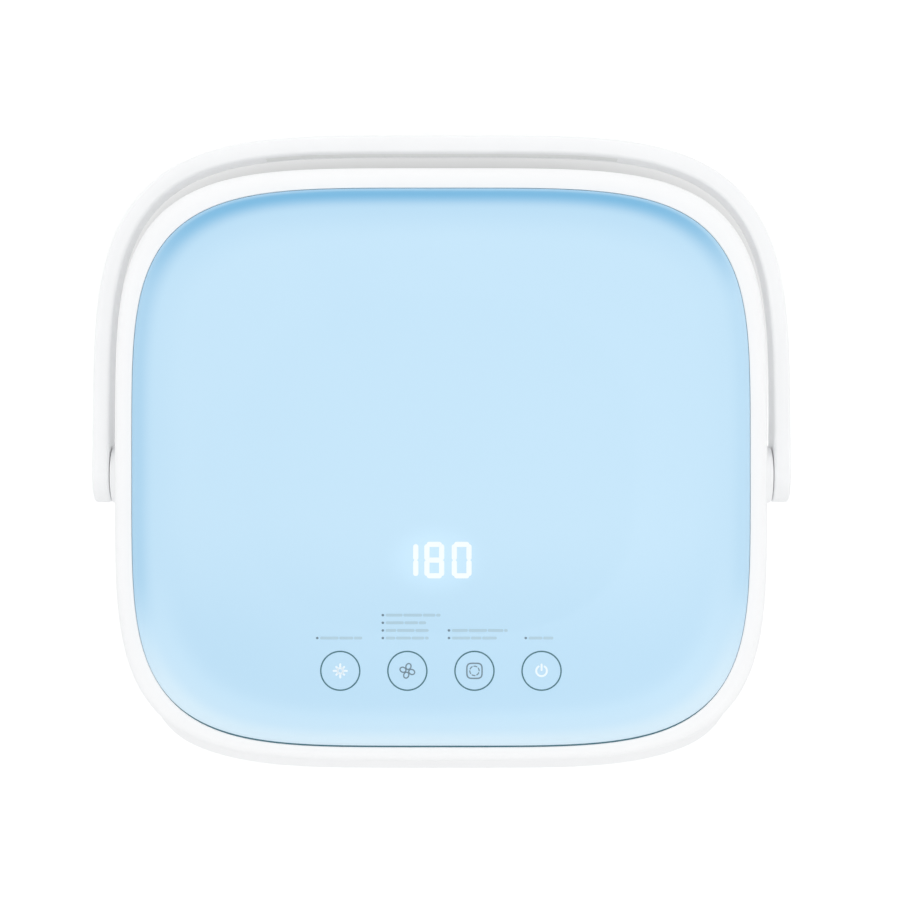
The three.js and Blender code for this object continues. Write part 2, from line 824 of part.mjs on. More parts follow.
const screwPlaces = quarters.map((_, quarter) =>
  insetPoint(lidShape, quarter * Math.PI / 2, screwInset));
const cornerTurn = (quarter) => (quarter + 1 / 2) * Math.PI / 2;
const footPlaces = ['rear_right', 'rear_left', 'front_left', 'front_right'].map(
  (place, quarter) => [place, insetPoint(lidShape, cornerTurn(quarter), footInset)]);

// The rounded foot edge, as insets and heights from the flat underside up to the wall.
function footEdge(radius, startTurn) {
  return countUp(footEdgeSteps + 1).map((step) => {
    const turn = THREE.MathUtils.lerp(startTurn, Math.PI / 2, step / footEdgeSteps);
    const height = baseBottom + footEdgeRadius - radius * Math.cos(turn);
    return [lidShape, bodyInset(height) + footEdgeRadius - radius * Math.sin(turn), height];
  });
}

function outerShell() {
  const innerRadius = footEdgeRadius - shellWall;
  const ledgeTurn = Math.acos((baseBottom + footEdgeRadius - ledgeTop) / innerRadius);
  const shell = frameOf([
    [lidShape, rebateInset, ledgeBottom],
    [lidShape, rebateInset, baseBottom],
    ...footEdge(footEdgeRadius, 0),
    [lidShape, bodyInset(shellTop), shellTop - topRounding],
    [lidShape, bodyInset(shellTop) + topRounding, shellTop],
    [lidShape, bodyInset(shellTop) + shellWall, shellTop],
    ...footEdge(innerRadius, ledgeTurn).reverse(),
    [lidShape, ledgeInset, ledgeTop],
    [lidShape, ledgeInset, ledgeBottom],
  ]);
  const bosses = screwPlaces.map(({ x, y }) =>
    barZ(screwBossRadius, [ledgeTop - weldOverlap, ledgeTop + screwBossHeight], x, y));
  const threads = screwPlaces.map(({ x, y }) => barZ(
    screwRadius + fitGap,
    [ledgeBottom - cutOverrun, ledgeTop + screwBossHeight + cutOverrun],
    x, y, postSides,
  ));
  const rearWall = [lidRearReach - bodyInset(baseBottom) - wallCutDepth, lidRearReach];
  const slots = centred(exhaustSlots, exhaustPitch).map((x) =>
    block(around(x, exhaustWidth), rearWall, [exhaustBottom, exhaustBottom + exhaustHeight]));
  const jackHole = barY(jackRadius + fitGap, rearWall, jackOffset, jackRise);
  const spigotHole = barX(
    spigotRadius + fitGap,
    [lidHalfWidth - bodyInset(pivotHeight) - wallCutDepth, lidHalfWidth],
    pivotY, pivotHeight, bossSides,
  );
  const knuckleSpaces = sides.map(([, side]) => hingeRelief(side * hingeSpacing / 2));
  return cut(
    joined(shell, ...bosses),
    ...threads, ...slots, jackHole, spigotHole, mirrored(spigotHole), ...knuckleSpaces,
  );
}

// Room in the shell's rear edge for a whole hinge.
function hingeRelief(centre) {
  const length = knuckleLength + 2 * (knuckleGap + earLength + knuckleGap);
  return barX(hingeRadius + sweepGap, around(centre, length), hingeAxisY, hingeAxisZ);
}

function basePlate() {
  const inset = rebateInset + fitGap;
  const plate = plateOf(
    [[lidShape, inset, baseBottom], [lidShape, inset, basePlateTop]], baseBottom, basePlateTop);
  const standing = basePlateTop - weldOverlap;
  const half = fanHoleSpacing / 2;
  const posts = quarters.map(([i, j]) =>
    barZ(fanPostRadius, [standing, fanBottom - fitGap], i * half, j * half, postSides));
  const boardPosts = powerPostPlaces().map(([x, y]) =>
    barZ(powerPostRadius, [standing, basePlateTop + powerPostHeight], x, y, postSides));
  const reach = fanBore / 2 - intakeMargin;
  const through = [baseBottom - cutOverrun, basePlateTop + cutOverrun];
  const slots = centred(intakeSlots, intakeSlotPitch).map((x) =>
    block(around(x, intakeSlotWidth), around(0, 2 * Math.sqrt(reach ** 2 - x ** 2)), through));
  const recesses = footPlaces.map(([, { x, y }]) =>
    barZ(footRadius + fitGap, [baseBottom - cutOverrun, baseBottom + footRecess], x, y, footSides));
  const screwSpaces = screwPlaces.flatMap(({ x, y }) => [
    barZ(screwRadius + fitGap, through, x, y, nutSides),
    barZ(screwHeadRadius + fitGap, [through[0], baseBottom + screwHeadHeight + fitGap], x, y,
      postSides),
  ]);
  return cut(joined(plate, ...posts, ...boardPosts), ...slots, ...recesses, ...screwSpaces);
}

function baseScrew({ x, y }) {
  const head = baseBottom + fitGap / 2;
  const profile = [
    [0, head],
    [screwHeadRadius, head],
    [screwHeadRadius, head + screwHeadHeight - fitGap / 2],
    [screwRadius, head + screwHeadHeight],
    [screwRadius, head + screwLength],
    [0, head + screwLength],
  ];
  return solidOf(turnedGeometry(profile, nutSides).translate(x, y, 0));
}

function rubberFoot({ x, y }) {
  const top = footHeight + footRecess - fitGap;
  const profile = [
    [0, 0],
    [footRadius - footTaper - footRounding, 0],
    [footRadius - footTaper, footRounding],
    [footRadius, footHeight - fitGap],
    [footRadius, top],
    [0, top],
  ];
  return solidOf(turnedGeometry(profile, footSides).translate(x, y, 0));
}

function topCollar() {
  const spigotBottom = collarUnderside - collarSpigotDepth;
  const spigotOuter = bodyInset(spigotBottom) + shellWall + fitGap;
  let collar = frameOf([
    [lidShape, spigotOuter, spigotBottom],
    [lidShape, spigotOuter, collarUnderside],
    [lidShape, lidTuck, collarUnderside],
    [lidShape, lidTuck, collarTop - topRounding],
    [lidShape, lidTuck + topRounding, collarTop],
    [lidShape, lidTuck + collarWidth, collarTop],
    [lidShape, lidTuck + collarWidth, collarUnderside],
    [lidShape, spigotOuter + collarSpigotWall, collarUnderside],
    [lidShape, spigotOuter + collarSpigotWall, spigotBottom],
  ]);
  for (const [, side] of sides) {
    const centre = side * hingeSpacing / 2;
    collar = hingeHalf(collar, earSpans(centre), [around(centre, knuckleLength)], -1);
    collar = cut(collar, strikeSpace(side * magnetSpacing / 2, fitGap));
  }
  const nutSpace = barX(nutRadius + fitGap, [0, lidHalfWidth - spigotOuter], pivotY, pivotHeight);
  return cut(collar, nutSpace, mirrored(nutSpace));
}

function hingePin(centre) {
  const half = knuckleLength / 2 + knuckleGap + earLength;
  return barX(hingePinRadius, [centre - half, centre + half], hingeAxisY, hingeAxisZ);
}

function chamberTank() {
  const outerCorner = tankCorner + tankSheet;
  const wallBottom = floorTop + tankCorner;
  const arc = (radius, steps) => countUp(steps + 1).map((step) => {
    const turn = (step / steps) * Math.PI / 2;
    const inset = tankInset + tankDraft + tankCorner - radius * Math.sin(turn);
    return [lidShape, inset, wallBottom - radius * Math.cos(turn)];
  });
  const flangeBottom = tankFlangeTop - tankSheet;
  const tank = plateOf([
    ...arc(outerCorner, tankCornerSteps),
    [lidShape, tankInset - tankSheet, flangeBottom],
    [lidShape, tankInset - tankFlange, flangeBottom],
    [lidShape, tankInset - tankFlange, tankFlangeTop],
    [lidShape, tankInset - tankBend, tankFlangeTop],
    [lidShape, tankInset, tankFlangeTop - tankBend],
    ...arc(tankCorner, tankCornerSteps).reverse(),
  ], floorBottom, floorTop);
  const through = [floorBottom - cutOverrun, floorTop + cutOverrun];
  const returns = uvRows.flatMap(([, row]) => centred(returnSlots, returnSlotPitch).map((x) =>
    block(
      around(x, returnSlotLength), around(row * returnSlotOffset, returnSlotWidth), through)));
  const ports = sides.map(([, side]) => barZ(uvPortRadius, through, side * floorWindowOffset));
  const studs = sides.flatMap(([, side]) => uvRows.map(([, row]) => barZ(
    floorStudRadius,
    [floorBoardTop + fitGap, floorBottom + tankSheet / 2],
    side * floorWindowOffset,
    row * (floorBoardLength / 2 - floorStudMargin),
    nutSides,
  )));
  const opening = barZ(grilleOpeningRadius, through, 0, 0, ringSides);
  return cut(joined(tank, ...studs), opening, ...ports, ...returns);
}

// The grille's flange lies on the chamber floor, and its spigot goes through the opening.
function airGrille() {
  const spigotRadiusOuter = grilleOpeningRadius - fitGap;
  const flangeBottom = floorTop + fitGap;
  const disc = turned([
    [0, flangeBottom],
    [spigotRadiusOuter - grilleSpigotWall, flangeBottom],
    [spigotRadiusOuter - grilleSpigotWall, floorTop - grilleSpigot],
    [spigotRadiusOuter, floorTop - grilleSpigot],
    [spigotRadiusOuter, flangeBottom],
    [grilleOpeningRadius + grilleFlange, flangeBottom],
    [grilleOpeningRadius + grilleFlange - grilleThickness / 2, flangeBottom + grilleThickness],
    [0, flangeBottom + grilleThickness],
  ]);
  const reach = spigotRadiusOuter - grilleSpigotWall - grilleSlotMargin;
  const through = [flangeBottom - cutOverrun, flangeBottom + grilleThickness + cutOverrun];
  const slots = centred(grilleSlots, grilleSlotPitch).map((x) =>
    block(around(x, grilleSlotWidth), around(0, 2 * Math.sqrt(reach ** 2 - x ** 2)), through));
  return cut(disc, ...slots);
}

function fanFrame() {
  const half = fanSize / 2;
  const corner = half - fanCornerRadius;
  const square = new THREE.Shape();
  quarters.forEach(([i, j], quarter) => square.absarc(
    i * corner, j * corner, fanCornerRadius, quarter * Math.PI / 2, (quarter + 1) * Math.PI / 2));
  const options = { depth: fanDepth, bevelEnabled: false, curveSegments: smallArcSteps };
  const body = solidOf(new THREE.ExtrudeGeometry(square, options).translate(0, 0, fanBottom));
  const through = [fanBottom - cutOverrun, fanTop + cutOverrun];
  const hole = fanHoleSpacing / 2;
  const holes = quarters.map(([i, j]) =>
    barZ(fanHoleRadius, through, i * hole, j * hole, postSides));
  const ring = cut(body, barZ(fanBore / 2, through, 0, 0, ringSides), ...holes);
  const low = [fanBottom, fanBottom + statorThickness];
  const struts = countUp(fanStruts / 2).map((index) => {
    const reach = fanBore / 2 + weldOverlap;
    const bar = new THREE.BoxGeometry(2 * reach, strutWidth, statorThickness);
    bar.rotateZ((index + 1 / 2) * 2 * Math.PI / fanStruts);
    return solidOf(bar.translate(0, 0, fanBottom + statorThickness / 2));
  });
  const shaftHole = barZ(shaftRadius + shaftClearance, through);
  return cut(joined(ring, ...struts, barZ(statorRadius, low, 0, 0, bossSides)), shaftHole);
}

// A blade: sections from the hub to the tip, each a thin cambered strip set at its own pitch.
function fanBlade(index) {
  const tip = fanBore / 2 - bladeTipGap;
  const root = rotorHubRadius - weldOverlap;
  const middle = fanBottom + statorThickness + rotorClearance + rotorHubHeight / 2;
  const start = (2 * Math.PI * index) / fanBlades;
  const sections = countUp(bladeStations).map((station) => {
    const share = station / (bladeStations - 1);
    const radius = THREE.MathUtils.lerp(root, tip, share);
    const pitch = THREE.MathUtils.degToRad(
      THREE.MathUtils.lerp(bladeRootPitch, bladeTipPitch, share));
    const halfSpan = THREE.MathUtils.degToRad(bladeSpan) / 2;
    const rise = bladeRise * Math.sin(pitch) / Math.sin(THREE.MathUtils.degToRad(bladeRootPitch));
    const edge = (along, lift) => {
      const turn = start + along * halfSpan;
      const height = middle + along * rise / 2 + lift;
      return new THREE.Vector3(radius * Math.cos(turn), radius * Math.sin(turn), height);
    };
    const half = bladeThickness / 2;
    const camber = bladeThickness;
    return [edge(-1, -half), edge(0, -half - camber), edge(1, -half), edge(1, half),
      edge(0, half - camber), edge(-1, half)];
  });
  return loft(sections, [middleOf(sections[0]), middleOf(sections[bladeStations - 1])]);
}

function fanRotor() {
  const hubBottom = fanBottom + statorThickness + rotorClearance;
  const hub = turned([
    [0, fanBottom + fitGap],
    [shaftRadius, fanBottom + fitGap],
    [shaftRadius, hubBottom],
    [rotorHubRadius, hubBottom],
    [rotorHubRadius, hubBottom + rotorHubHeight - bladeThickness],
    [rotorHubRadius - bladeThickness, hubBottom + rotorHubHeight],
    [0, hubBottom + rotorHubHeight],
  ], bossSides);
  return joined(hub, ...countUp(fanBlades).map(fanBlade));
}

function heaterDuct() {
  const bore = fanBore / 2;
  const outer = bore + ductWall;
  const ledge = heaterSeat - fitGap;
  return turned([
    [bore, ductBottom],
    [outer + ductFlange - ductWall, ductBottom],
    [outer + ductFlange - ductWall, ductBottom + ductFlangeThickness],
    [outer, ductBottom + ductFlangeThickness],
    [outer, ductTop - ductFlangeThickness],
    [outer + ductFlange, ductTop - ductFlangeThickness],
    [outer + ductFlange, ductTop],
    [bore, ductTop],
    [bore, ledge],
    [bore - ductLedge, ledge],
    [bore - ductLedge, ledge - ductLedgeThickness],
    [bore, ledge - ductLedgeThickness],
    [bore, ductBottom],
  ]);
}

// The heating block: a ring that rests on the duct's ledge, bars across it, and fins on the bars.
function ptcHeater() {
  const outer = fanBore / 2 - fitGap;
  const inner = outer - heaterRing;
  const bottom = heaterSeat;
  const ring = turned([
    [inner, bottom],
    [outer, bottom],
    [outer, bottom + heaterRingHeight],
    [inner, bottom + heaterRingHeight],
    [inner, bottom],
  ]);
  const height = [bottom, bottom + heaterHeight];
  const bars = centred(heaterBars, heaterBarSpacing).map((y) => {
    const reach = Math.sqrt(inner ** 2 - y ** 2) + heaterRing / 2;
    const low = [bottom, bottom + heaterRingHeight];
    return joined(
      block([-reach, reach], around(y, heaterBarWidth), low),
      block([-finReach, finReach], around(y, heaterBarWidth), height),
    );
  });
  const finHalf = heaterBarSpacing + heaterBarWidth / 2;
  const finCount = Math.floor(2 * finReach / finPitch);
  const fins = centred(finCount, finPitch).map((x) => block(
    around(x, finThickness),
    [-finHalf, finHalf],
    [bottom + finThickness, bottom + heaterHeight - finThickness],
  ));
  return joined(ring, ...bars, ...fins);
}

function powerPostPlaces() {
  const x = powerBoardWidth / 2 - powerPostMargin;
  const y = powerBoardLength / 2 - powerPostMargin;
  return quarters.map(([i, j]) => [powerBoardOffset + i * x, j * y]);
}

function powerBoard() {
  const bottom = basePlateTop + powerPostHeight + fitGap;
  const top = bottom + circuitBoardThickness;
  const standing = top - weldOverlap;
  const x = powerBoardOffset;
  const board = block(around(x, powerBoardWidth), around(0, powerBoardLength), [bottom, top]);
  return joined(
    board,
    barZ(capacitorRadius, [standing, top + capacitorHeight], x - chokeSize / 2, componentPitch),
    barZ(capacitorRadius, [standing, top + capacitorHeight], x + chokeSize / 2, componentPitch),
    block(around(x, chokeSize), around(0, chokeSize), [standing, top + chokeHeight]),
    block(
      around(x, terminalLength),
      around(-componentPitch, terminalDepth),
      [standing, top + terminalHeight],
    ),
  );
}

// The inlet: a barrel with a flange outside the rear wall, a nut inside, and the contact pin.
function dcJack() {
  const outside = rearWallY(jackOffset - jackFlangeRadius, jackRise + jackFlangeRadius);
  const inside = rearWallY(jackOffset + jackNutRadius, jackRise - jackNutRadius) - shellWall - fitGap;
  const front = outside + fitGap;
  const nutRear = inside - fitGap;
  const flange = barY(jackFlangeRadius, [front, front + jackFlangeThickness], jackOffset, jackRise);
  const barrel = barY(jackRadius, [front - jackLength, front + weldOverlap], jackOffset, jackRise);
  const nut = barY(
    jackNutRadius, [nutRear - jackNutThickness, nutRear], jackOffset, jackRise, nutSides);
  const mouth = front + jackFlangeThickness + cutOverrun;
  const deepest = front + jackFlangeThickness - jackBoreDepth;
  const bore = barY(jackBore, [deepest, mouth], jackOffset, jackRise, postSides);
  const pin = barY(jackPinRadius, [deepest - weldOverlap, front], jackOffset, jackRise, nutSides);
  return joined(cut(joined(flange, barrel, nut), bore), pin);
}

// Where the shell's rear wall is, at a distance from the middle and a height.
function rearWallY(x, height) {
  const inset = bodyInset(height);
  const along = Math.abs(x) / (lidHalfWidth - inset);
  return (lidRearReach - inset) * (1 - along ** outlineExponent) ** (1 / outlineExponent);
}

function bottleRack() {
  const wireHeight = floorTop + rackHeight;
  const barHeight = wireHeight + rackBarRise;
  const inset = tankInset + tankDraft + rackMargin;
  const half = rackWire / 2;
  const rim = frameOf([
    [lidShape, inset + half, wireHeight - half],
    [lidShape, inset, wireHeight],
    [lidShape, inset + half, wireHeight + half],
    [lidShape, inset + rackWire, wireHeight],
  ]);
  const spanX = lidHalfWidth - inset - half;
  const pitch = 2 * spanX / (rackBars + 1);
  const bars = centred(rackBars, pitch).map((x) => {
    const share = (1 - (Math.abs(x) / spanX) ** outlineExponent) ** (1 / outlineExponent);
    const rear = (lidRearReach - inset - half) * share;
    const front = (lidFrontReach - inset - half) * share;
    return barY(rackBarWire / 2, [-front, rear], x, barHeight, wireSides);
  });
  const supportHeight = wireHeight - rackBarWire / 2;
  const legPlaces = quarters.map((_, quarter) =>
    insetPoint(lidShape, cornerTurn(quarter), inset + rackLegInset));
  const supports = uvRows.map(([, row]) => {
    const y = legPlaces[row > 0 ? 0 : legPlaces.length - 1].y;
    const depth = (row > 0 ? lidRearReach : lidFrontReach) - inset - half;
    const share = (1 - (Math.abs(y) / depth) ** outlineExponent) ** (1 / outlineExponent);
    const reach = spanX * share;
    return barX(rackWire / 2, [-reach, reach], y, supportHeight, wireSides);
  });
  const legs = legPlaces.map(({ x, y }) =>
    barZ(rackLegRadius, [floorTop + fitGap, supportHeight], x, y, postSides));
  return joined(rim, ...bars, ...supports, ...legs);
}

function hallSensor() {
  const y = closureY(interlockInset);
  const top = collarUnderside - fitGap;
  const head = block(around(0, hallSize), around(y, hallSize / 2), [top - hallSize, top]);
  const leads = block(
    around(0, hallLeads), around(y, hallLeads / 2), [top - hallHeight, top - hallSize / 2]);
  return joined(head, leads);
}

function buildBody() {
  addPiece('outer_shell', outerShell(), whitePlastic);
  addPiece('base_plate', basePlate(), whitePlastic);
  footPlaces.forEach(([place, point]) => addPiece(`foot_${place}`, rubberFoot(point), greyRubber));
  screwPlaces.forEach((point, index) =>
    addPiece(`base_screw_${index + 1}`, baseScrew(point), plainSteel));
  addPiece('top_collar', topCollar(), whitePlastic);
  addPiece('chamber_tank', chamberTank(), mirrorSteel);
  addPiece('air_grille', airGrille(), plainSteel);
  addPiece('fan_frame', fanFrame(), blackPlastic);
  addPiece('fan_rotor', fanRotor(), blackPlastic);
  addPiece('heater_duct', heaterDuct(), boardWhite);
  addPiece('ptc_heater', ptcHeater(), heaterAluminium);
  addPiece('power_board', powerBoard(), greenBoard);
  addPiece('dc_jack', dcJack(), blackPlastic);
  addPiece('bottle_rack', bottleRack(), plainSteel);
  addPiece('hall_sensor', hallSensor(), blackPlastic);
  for (const [place, side] of sides) {
    const x = side * floorWindowOffset;
    const height = [floorQuartzBottom, floorQuartzBottom + quartzThickness];
    addPiece(`floor_uv_window_${place}`, barZ(quartzRadius, height, x), quartz);
    const board = diodeBoard(
      around(x, floorBoardWidth), around(0, floorBoardLength),
      floorBoardTop - circuitBoardThickness, [[x, 0, 1]],
    );
    addPiece(`floor_uv_board_${place}`, board, boardWhite);
    addPiece(`strike_plate_${place}`, strikeSpace(side * magnetSpacing / 2, 0), plainSteel);
    addPiece(`hinge_pin_${place}`, hingePin(side * hingeSpacing / 2), plainSteel);
  }
}

// Handle

const handleTurns = countUp(handleSteps + 1).map((step) => (step / handleSteps) * Math.PI);
const archShare = (turn) => smoothShare(Math.sin(turn) ** 2);
const bandThickness = (turn) => THREE.MathUtils.lerp(armThickness, gripThickness, archShare(turn));

function bandHeight(turn) {
  const y = Math.abs(Math.sin(turn)) ** (2 / outlineExponent);
  const fromBoss = Math.max(0, 1 - y / bossBlendShare);
  const plain = THREE.MathUtils.lerp(armHeight, gripHeight, archShare(turn));
  return THREE.MathUtils.lerp(plain, 2 * bossRadius, fromBoss);
}

// A rounded rectangle that stands across the handle's path: from one depth to another along the
// outward normal, and half a height either way.
function bandSection(turn, nearDepth, farDepth, height, rounding) {
  const point = outlinePoint(handleShape, turn);
  const middle = (nearDepth + farDepth) / 2;
  const halfDepth = (farDepth - nearDepth) / 2 - rounding;
  const halfHeight = height / 2 - rounding;
  return quarters.flatMap(([i, j], quarter) => [0, 1].map((step) => {
    const angle = (quarter + step) * Math.PI / 2;
    const depth = middle + i * halfDepth + rounding * Math.cos(angle);
    const lift = j * halfHeight + rounding * Math.sin(angle);
    return new THREE.Vector3(
      point.x + depth * point.normal.x,
      pivotY + point.y + depth * point.normal.y,
      pivotHeight + lift,
    );
  }));
}

function band(turns, sectionOf) {
  const sections = turns.map(sectionOf);
  return loft(sections, [middleOf(sections[0]), middleOf(sections[sections.length - 1])]);
}

const middleStep = handleSteps / 2;
const gripTurns = handleTurns.slice(
  middleStep - gripStepsEachSide, middleStep + gripStepsEachSide + 1);

function gripBand(nearDepth, farDepth, gap) {
  return band(gripTurns, (turn) => bandSection(
    turn, nearDepth, farDepth + gap, gripInsetHeight + 2 * gap, gripRounding));
}

function handleBail() {
  const bail = band(handleTurns, (turn) =>
    bandSection(turn, 0, bandThickness(turn), bandHeight(turn), handleRounding));
  const small = bossRounding;
  const bossProfile = [
    [0, 0],
    [bossRadius - small, 0],
    [bossRadius, small],
    [bossRadius, armThickness - small],
    [bossRadius - small, armThickness],
    [0, armThickness],
  ];
  const bossSolid = solidOf(turnedGeometry(bossProfile, bossSides).rotateY(Math.PI / 2)
    .translate(handleInnerHalf, pivotY, pivotHeight));
  const through = [handleInnerHalf - cutOverrun, handleInnerHalf + armThickness + cutOverrun];
  const eye = barX(
    journalRadius + journalClearance, through, pivotY, pivotHeight, bossSides);
  const capSeat = handleInnerHalf + armThickness - capThickness - 2 * fitGap;
  const counterbore = barX(
    capRadius + fitGap, [capSeat, through[1]], pivotY, pivotHeight, bossSides);
  const whole = joined(bail, bossSolid, mirrored(bossSolid));
  const groove = gripBand(-cutOverrun, gripInsetDepth, fitGap);
  return cut(whole, eye, counterbore, mirrored(eye), mirrored(counterbore), groove);
}

function handleGrip() {
  const end = outlinePoint(handleShape, gripTurns[0]).x - fitGap;
  const wide = [pivotY, pivotY + 2 * handleInnerReach];
  const high = around(pivotHeight, 2 * gripHeight);
  return gripBand(0, gripInsetDepth, 0).intersect(block([-end, end], wide, high));
}

// The mount's foot fits the shell's wall, its journal carries the handle's eye, and its spigot goes
// through the wall to a nut inside.
function handleMount() {
  const wall = lidHalfWidth - bodyInset(pivotHeight);
  const tip = handleInnerHalf - fitGap;
  const journalEnd = handleInnerHalf + armThickness - capThickness - 2 * fitGap - fitGap;
  const profile = [
    [0, wall - shellWall],
    [mountRootRadius, wall - shellWall],
    [mountRootRadius, wall + shellWall],
    [mountTipRadius, tip],
    [journalRadius, tip],
    [journalRadius, journalEnd],
    [0, journalEnd],
  ];
  const outside = solidOf(turnedGeometry(profile, bossSides).rotateY(Math.PI / 2)
    .translate(0, pivotY, pivotHeight));
  const low = pivotHeight - 2 * mountRootRadius;
  const high = shellTop + cutOverrun;
  const envelope = plateOf([
    [lidShape, bodyInset(low) - fitGap, low],
    [lidShape, bodyInset(high) - fitGap, high],
  ], low, high);
  const spigot = barX(
    spigotRadius, [wall - shellWall - spigotReach, wall + shellWall], pivotY, pivotHeight,
    bossSides);
  const shankHole = barX(
    capShankRadius + fitGap, [journalEnd - capShankLength - fitGap, journalEnd + cutOverrun],
    pivotY, pivotHeight);
  return cut(joined(cut(outside, envelope), spigot), shankHole);
}

function handleNut() {
  const inside = lidHalfWidth - bodyInset(pivotHeight - nutRadius) - shellWall - fitGap;
  const span = [inside - nutThickness, inside];
  const nut = barX(nutRadius, span, pivotY, pivotHeight, nutSides);
  const bore = [span[0] - cutOverrun, span[1] + cutOverrun];
  return cut(nut, barX(spigotRadius + fitGap, bore, pivotY, pivotHeight, bossSides));
}

function pivotCap() {
  const outerFace = handleInnerHalf + armThickness - fitGap;
  const disc = barX(
    capRadius, [outerFace - capThickness, outerFace], pivotY, pivotHeight, bossSides);
  const shank = [outerFace - capThickness - capShankLength, outerFace - capThickness / 2];
  return joined(disc, barX(capShankRadius, shank, pivotY, pivotHeight));
}

function buildHandle() {
  addPiece('handle_bail', handleBail(), whitePlastic);
  addPiece('handle_grip', handleGrip(), gripSoft);
  for (const [piece, solid, finish] of [
    ['handle_mount', handleMount(), whitePlastic],
    ['handle_nut', handleNut(), plainSteel],
    ['pivot_cap', pivotCap(), whitePlastic],
  ]) {
    addPiece(`${piece}_right`, solid, finish);
    addPiece(`${piece}_left`, mirrored(solid), finish);
  }
}

buildLid();
buildBody();
buildHandle();

// The origin lies below the middle of the whole, between the handle's rear and the lift lip's front.
const rearmost = pivotY + handleInnerReach + gripThickness;
const foremost = -lidFrontReach - liftLipReach;
sterilizer.position.y = -(rearmost + foremost) / 2;

export default sterilizer;
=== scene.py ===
# %% [markdown]
# # A sterilizer box for feeding bottles, dressed in Blender
# The box stands on a table and is seen from straight above: a white rim, a pale blue touch panel
# and a white carrying handle folded round the rear. Its solids, joints and sizes come from CAD as
# a fixed frame. This lesson makes the surfaces that a camera sees, at a finer pitch than the CAD
# facets, and gives each one its finish.

import math

import bpy
import numpy as np
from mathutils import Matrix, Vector


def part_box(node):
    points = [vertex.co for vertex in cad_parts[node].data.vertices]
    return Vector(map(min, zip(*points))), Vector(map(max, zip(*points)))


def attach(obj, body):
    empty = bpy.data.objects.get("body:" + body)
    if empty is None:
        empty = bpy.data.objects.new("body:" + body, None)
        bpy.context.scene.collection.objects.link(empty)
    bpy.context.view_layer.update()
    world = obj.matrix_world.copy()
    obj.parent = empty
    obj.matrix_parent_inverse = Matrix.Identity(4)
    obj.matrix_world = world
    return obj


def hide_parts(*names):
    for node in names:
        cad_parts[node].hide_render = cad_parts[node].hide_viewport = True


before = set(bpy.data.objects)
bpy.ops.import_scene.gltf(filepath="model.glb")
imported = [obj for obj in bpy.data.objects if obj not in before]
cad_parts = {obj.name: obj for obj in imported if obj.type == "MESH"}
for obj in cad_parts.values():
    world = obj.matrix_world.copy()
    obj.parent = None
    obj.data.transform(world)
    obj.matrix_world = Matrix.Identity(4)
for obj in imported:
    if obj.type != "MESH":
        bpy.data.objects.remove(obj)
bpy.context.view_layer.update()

# %% [markdown]
# ## Sizes
# A maker works from a few driving sizes. Here the outer ones are measured on the CAD nodes, so the
# new surfaces stay where the solids are, and the small ones, such as walls and roundings, are
# named once. All lengths are in metres, so millimetres get a unit of their own.

# %% Read the driving sizes
mm = 0.001


def in_mm(*values):
    """Numbers or points in millimetres, as an array in metres."""
    return np.array(values, float) * mm


def corners_of(node):
    """Lowest and highest corner of a CAD node, as two arrays."""
    low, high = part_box(node)
    return np.array(low), np.array(high)


panel_low, panel_high = corners_of("lid_panel")
lid_low, lid_high = corners_of("lid_frame")
shell_low, shell_high = corners_of("outer_shell")
pin_low, pin_high = corners_of("hinge_pin_right")

fit_gap, lid_tuck, knuckle_radius, body_draft, shell_wall = in_mm(0.3, 3.5, 3.3, 4, 2.5)
middle_y = (panel_low[1] + panel_high[1]) / 2
hinge_x, hinge_y = (pin_low[:2] + pin_high[:2]) / 2
lid_half = lid_high[0] + 0.1 * mm
lid_rear = hinge_y + knuckle_radius - middle_y
lid_front = middle_y - corners_of("top_collar")[0][1] + lid_tuck
lift_lip = middle_y - lid_low[1] - lid_front
panel_half, panel_reach = panel_high[0], panel_high[1] - middle_y
crown_top, rim_land = panel_high[2], lid_high[2]
collar_top = corners_of("strike_plate_right")[1][2]
parting_line = corners_of("lid_magnet_right")[0][2]
foot_height, shell_top = shell_low[2], shell_high[2]
print(f"lid {2 * lid_half / mm:.1f} x {(lid_rear + lid_front) / mm:.1f} mm, its lip {lift_lip / mm:.1f} mm")

# %% [markdown]
# ## The camera
# The photograph looks straight down from about a metre above the lid, with a long lens. That
# distance shows in the handle: it lies 45 mm below the rim, so it looks a little smaller and nearer
# to the middle than it is. A camera at a real distance gives that by itself. The lens follows from
# the picture's width in millimetres at the panel's height.

# %% Place the camera
scene = bpy.context.scene
picture_size = np.array([915, 900])
panel_pixel = np.array([441.0, 467.4])
mm_per_pixel, camera_distance, sensor_width = 0.397 * mm, 1.0, 36


def new_object(name, data):
    """An object in the scene for a mesh, a camera or a lamp."""
    obj = bpy.data.objects.new(name, data)
    scene.collection.objects.link(obj)
    return obj


offset = (picture_size / 2 - panel_pixel) * mm_per_pixel
camera_data = bpy.data.cameras.new("overhead_camera")
camera_data.sensor_width = sensor_width
camera_data.lens = sensor_width * camera_distance / (picture_size[0] * mm_per_pixel)
camera_data.clip_start = 0.01
scene.camera = new_object("overhead_camera", camera_data)
scene.camera.location = (offset[0], middle_y - offset[1], rim_land + camera_distance)
print(f"lens {camera_data.lens:.1f} mm, {camera_distance:.2f} m above the rim")

# %% [markdown]
# ## One outline for lid, body and chamber
# Seen from above, every ring of the box is a superellipse: a rounded square whose sides still
# bulge a little. A rectangle with round corners would show flat sides and a visible start of each
# corner. The exponent 4.4 fits the photographed panel. Each ring is that outline moved inwards
# along its normal, so rings stay parallel, as the wall of a moulded tray does.

# %% The outline
exponent, round_steps = 4.4, 288


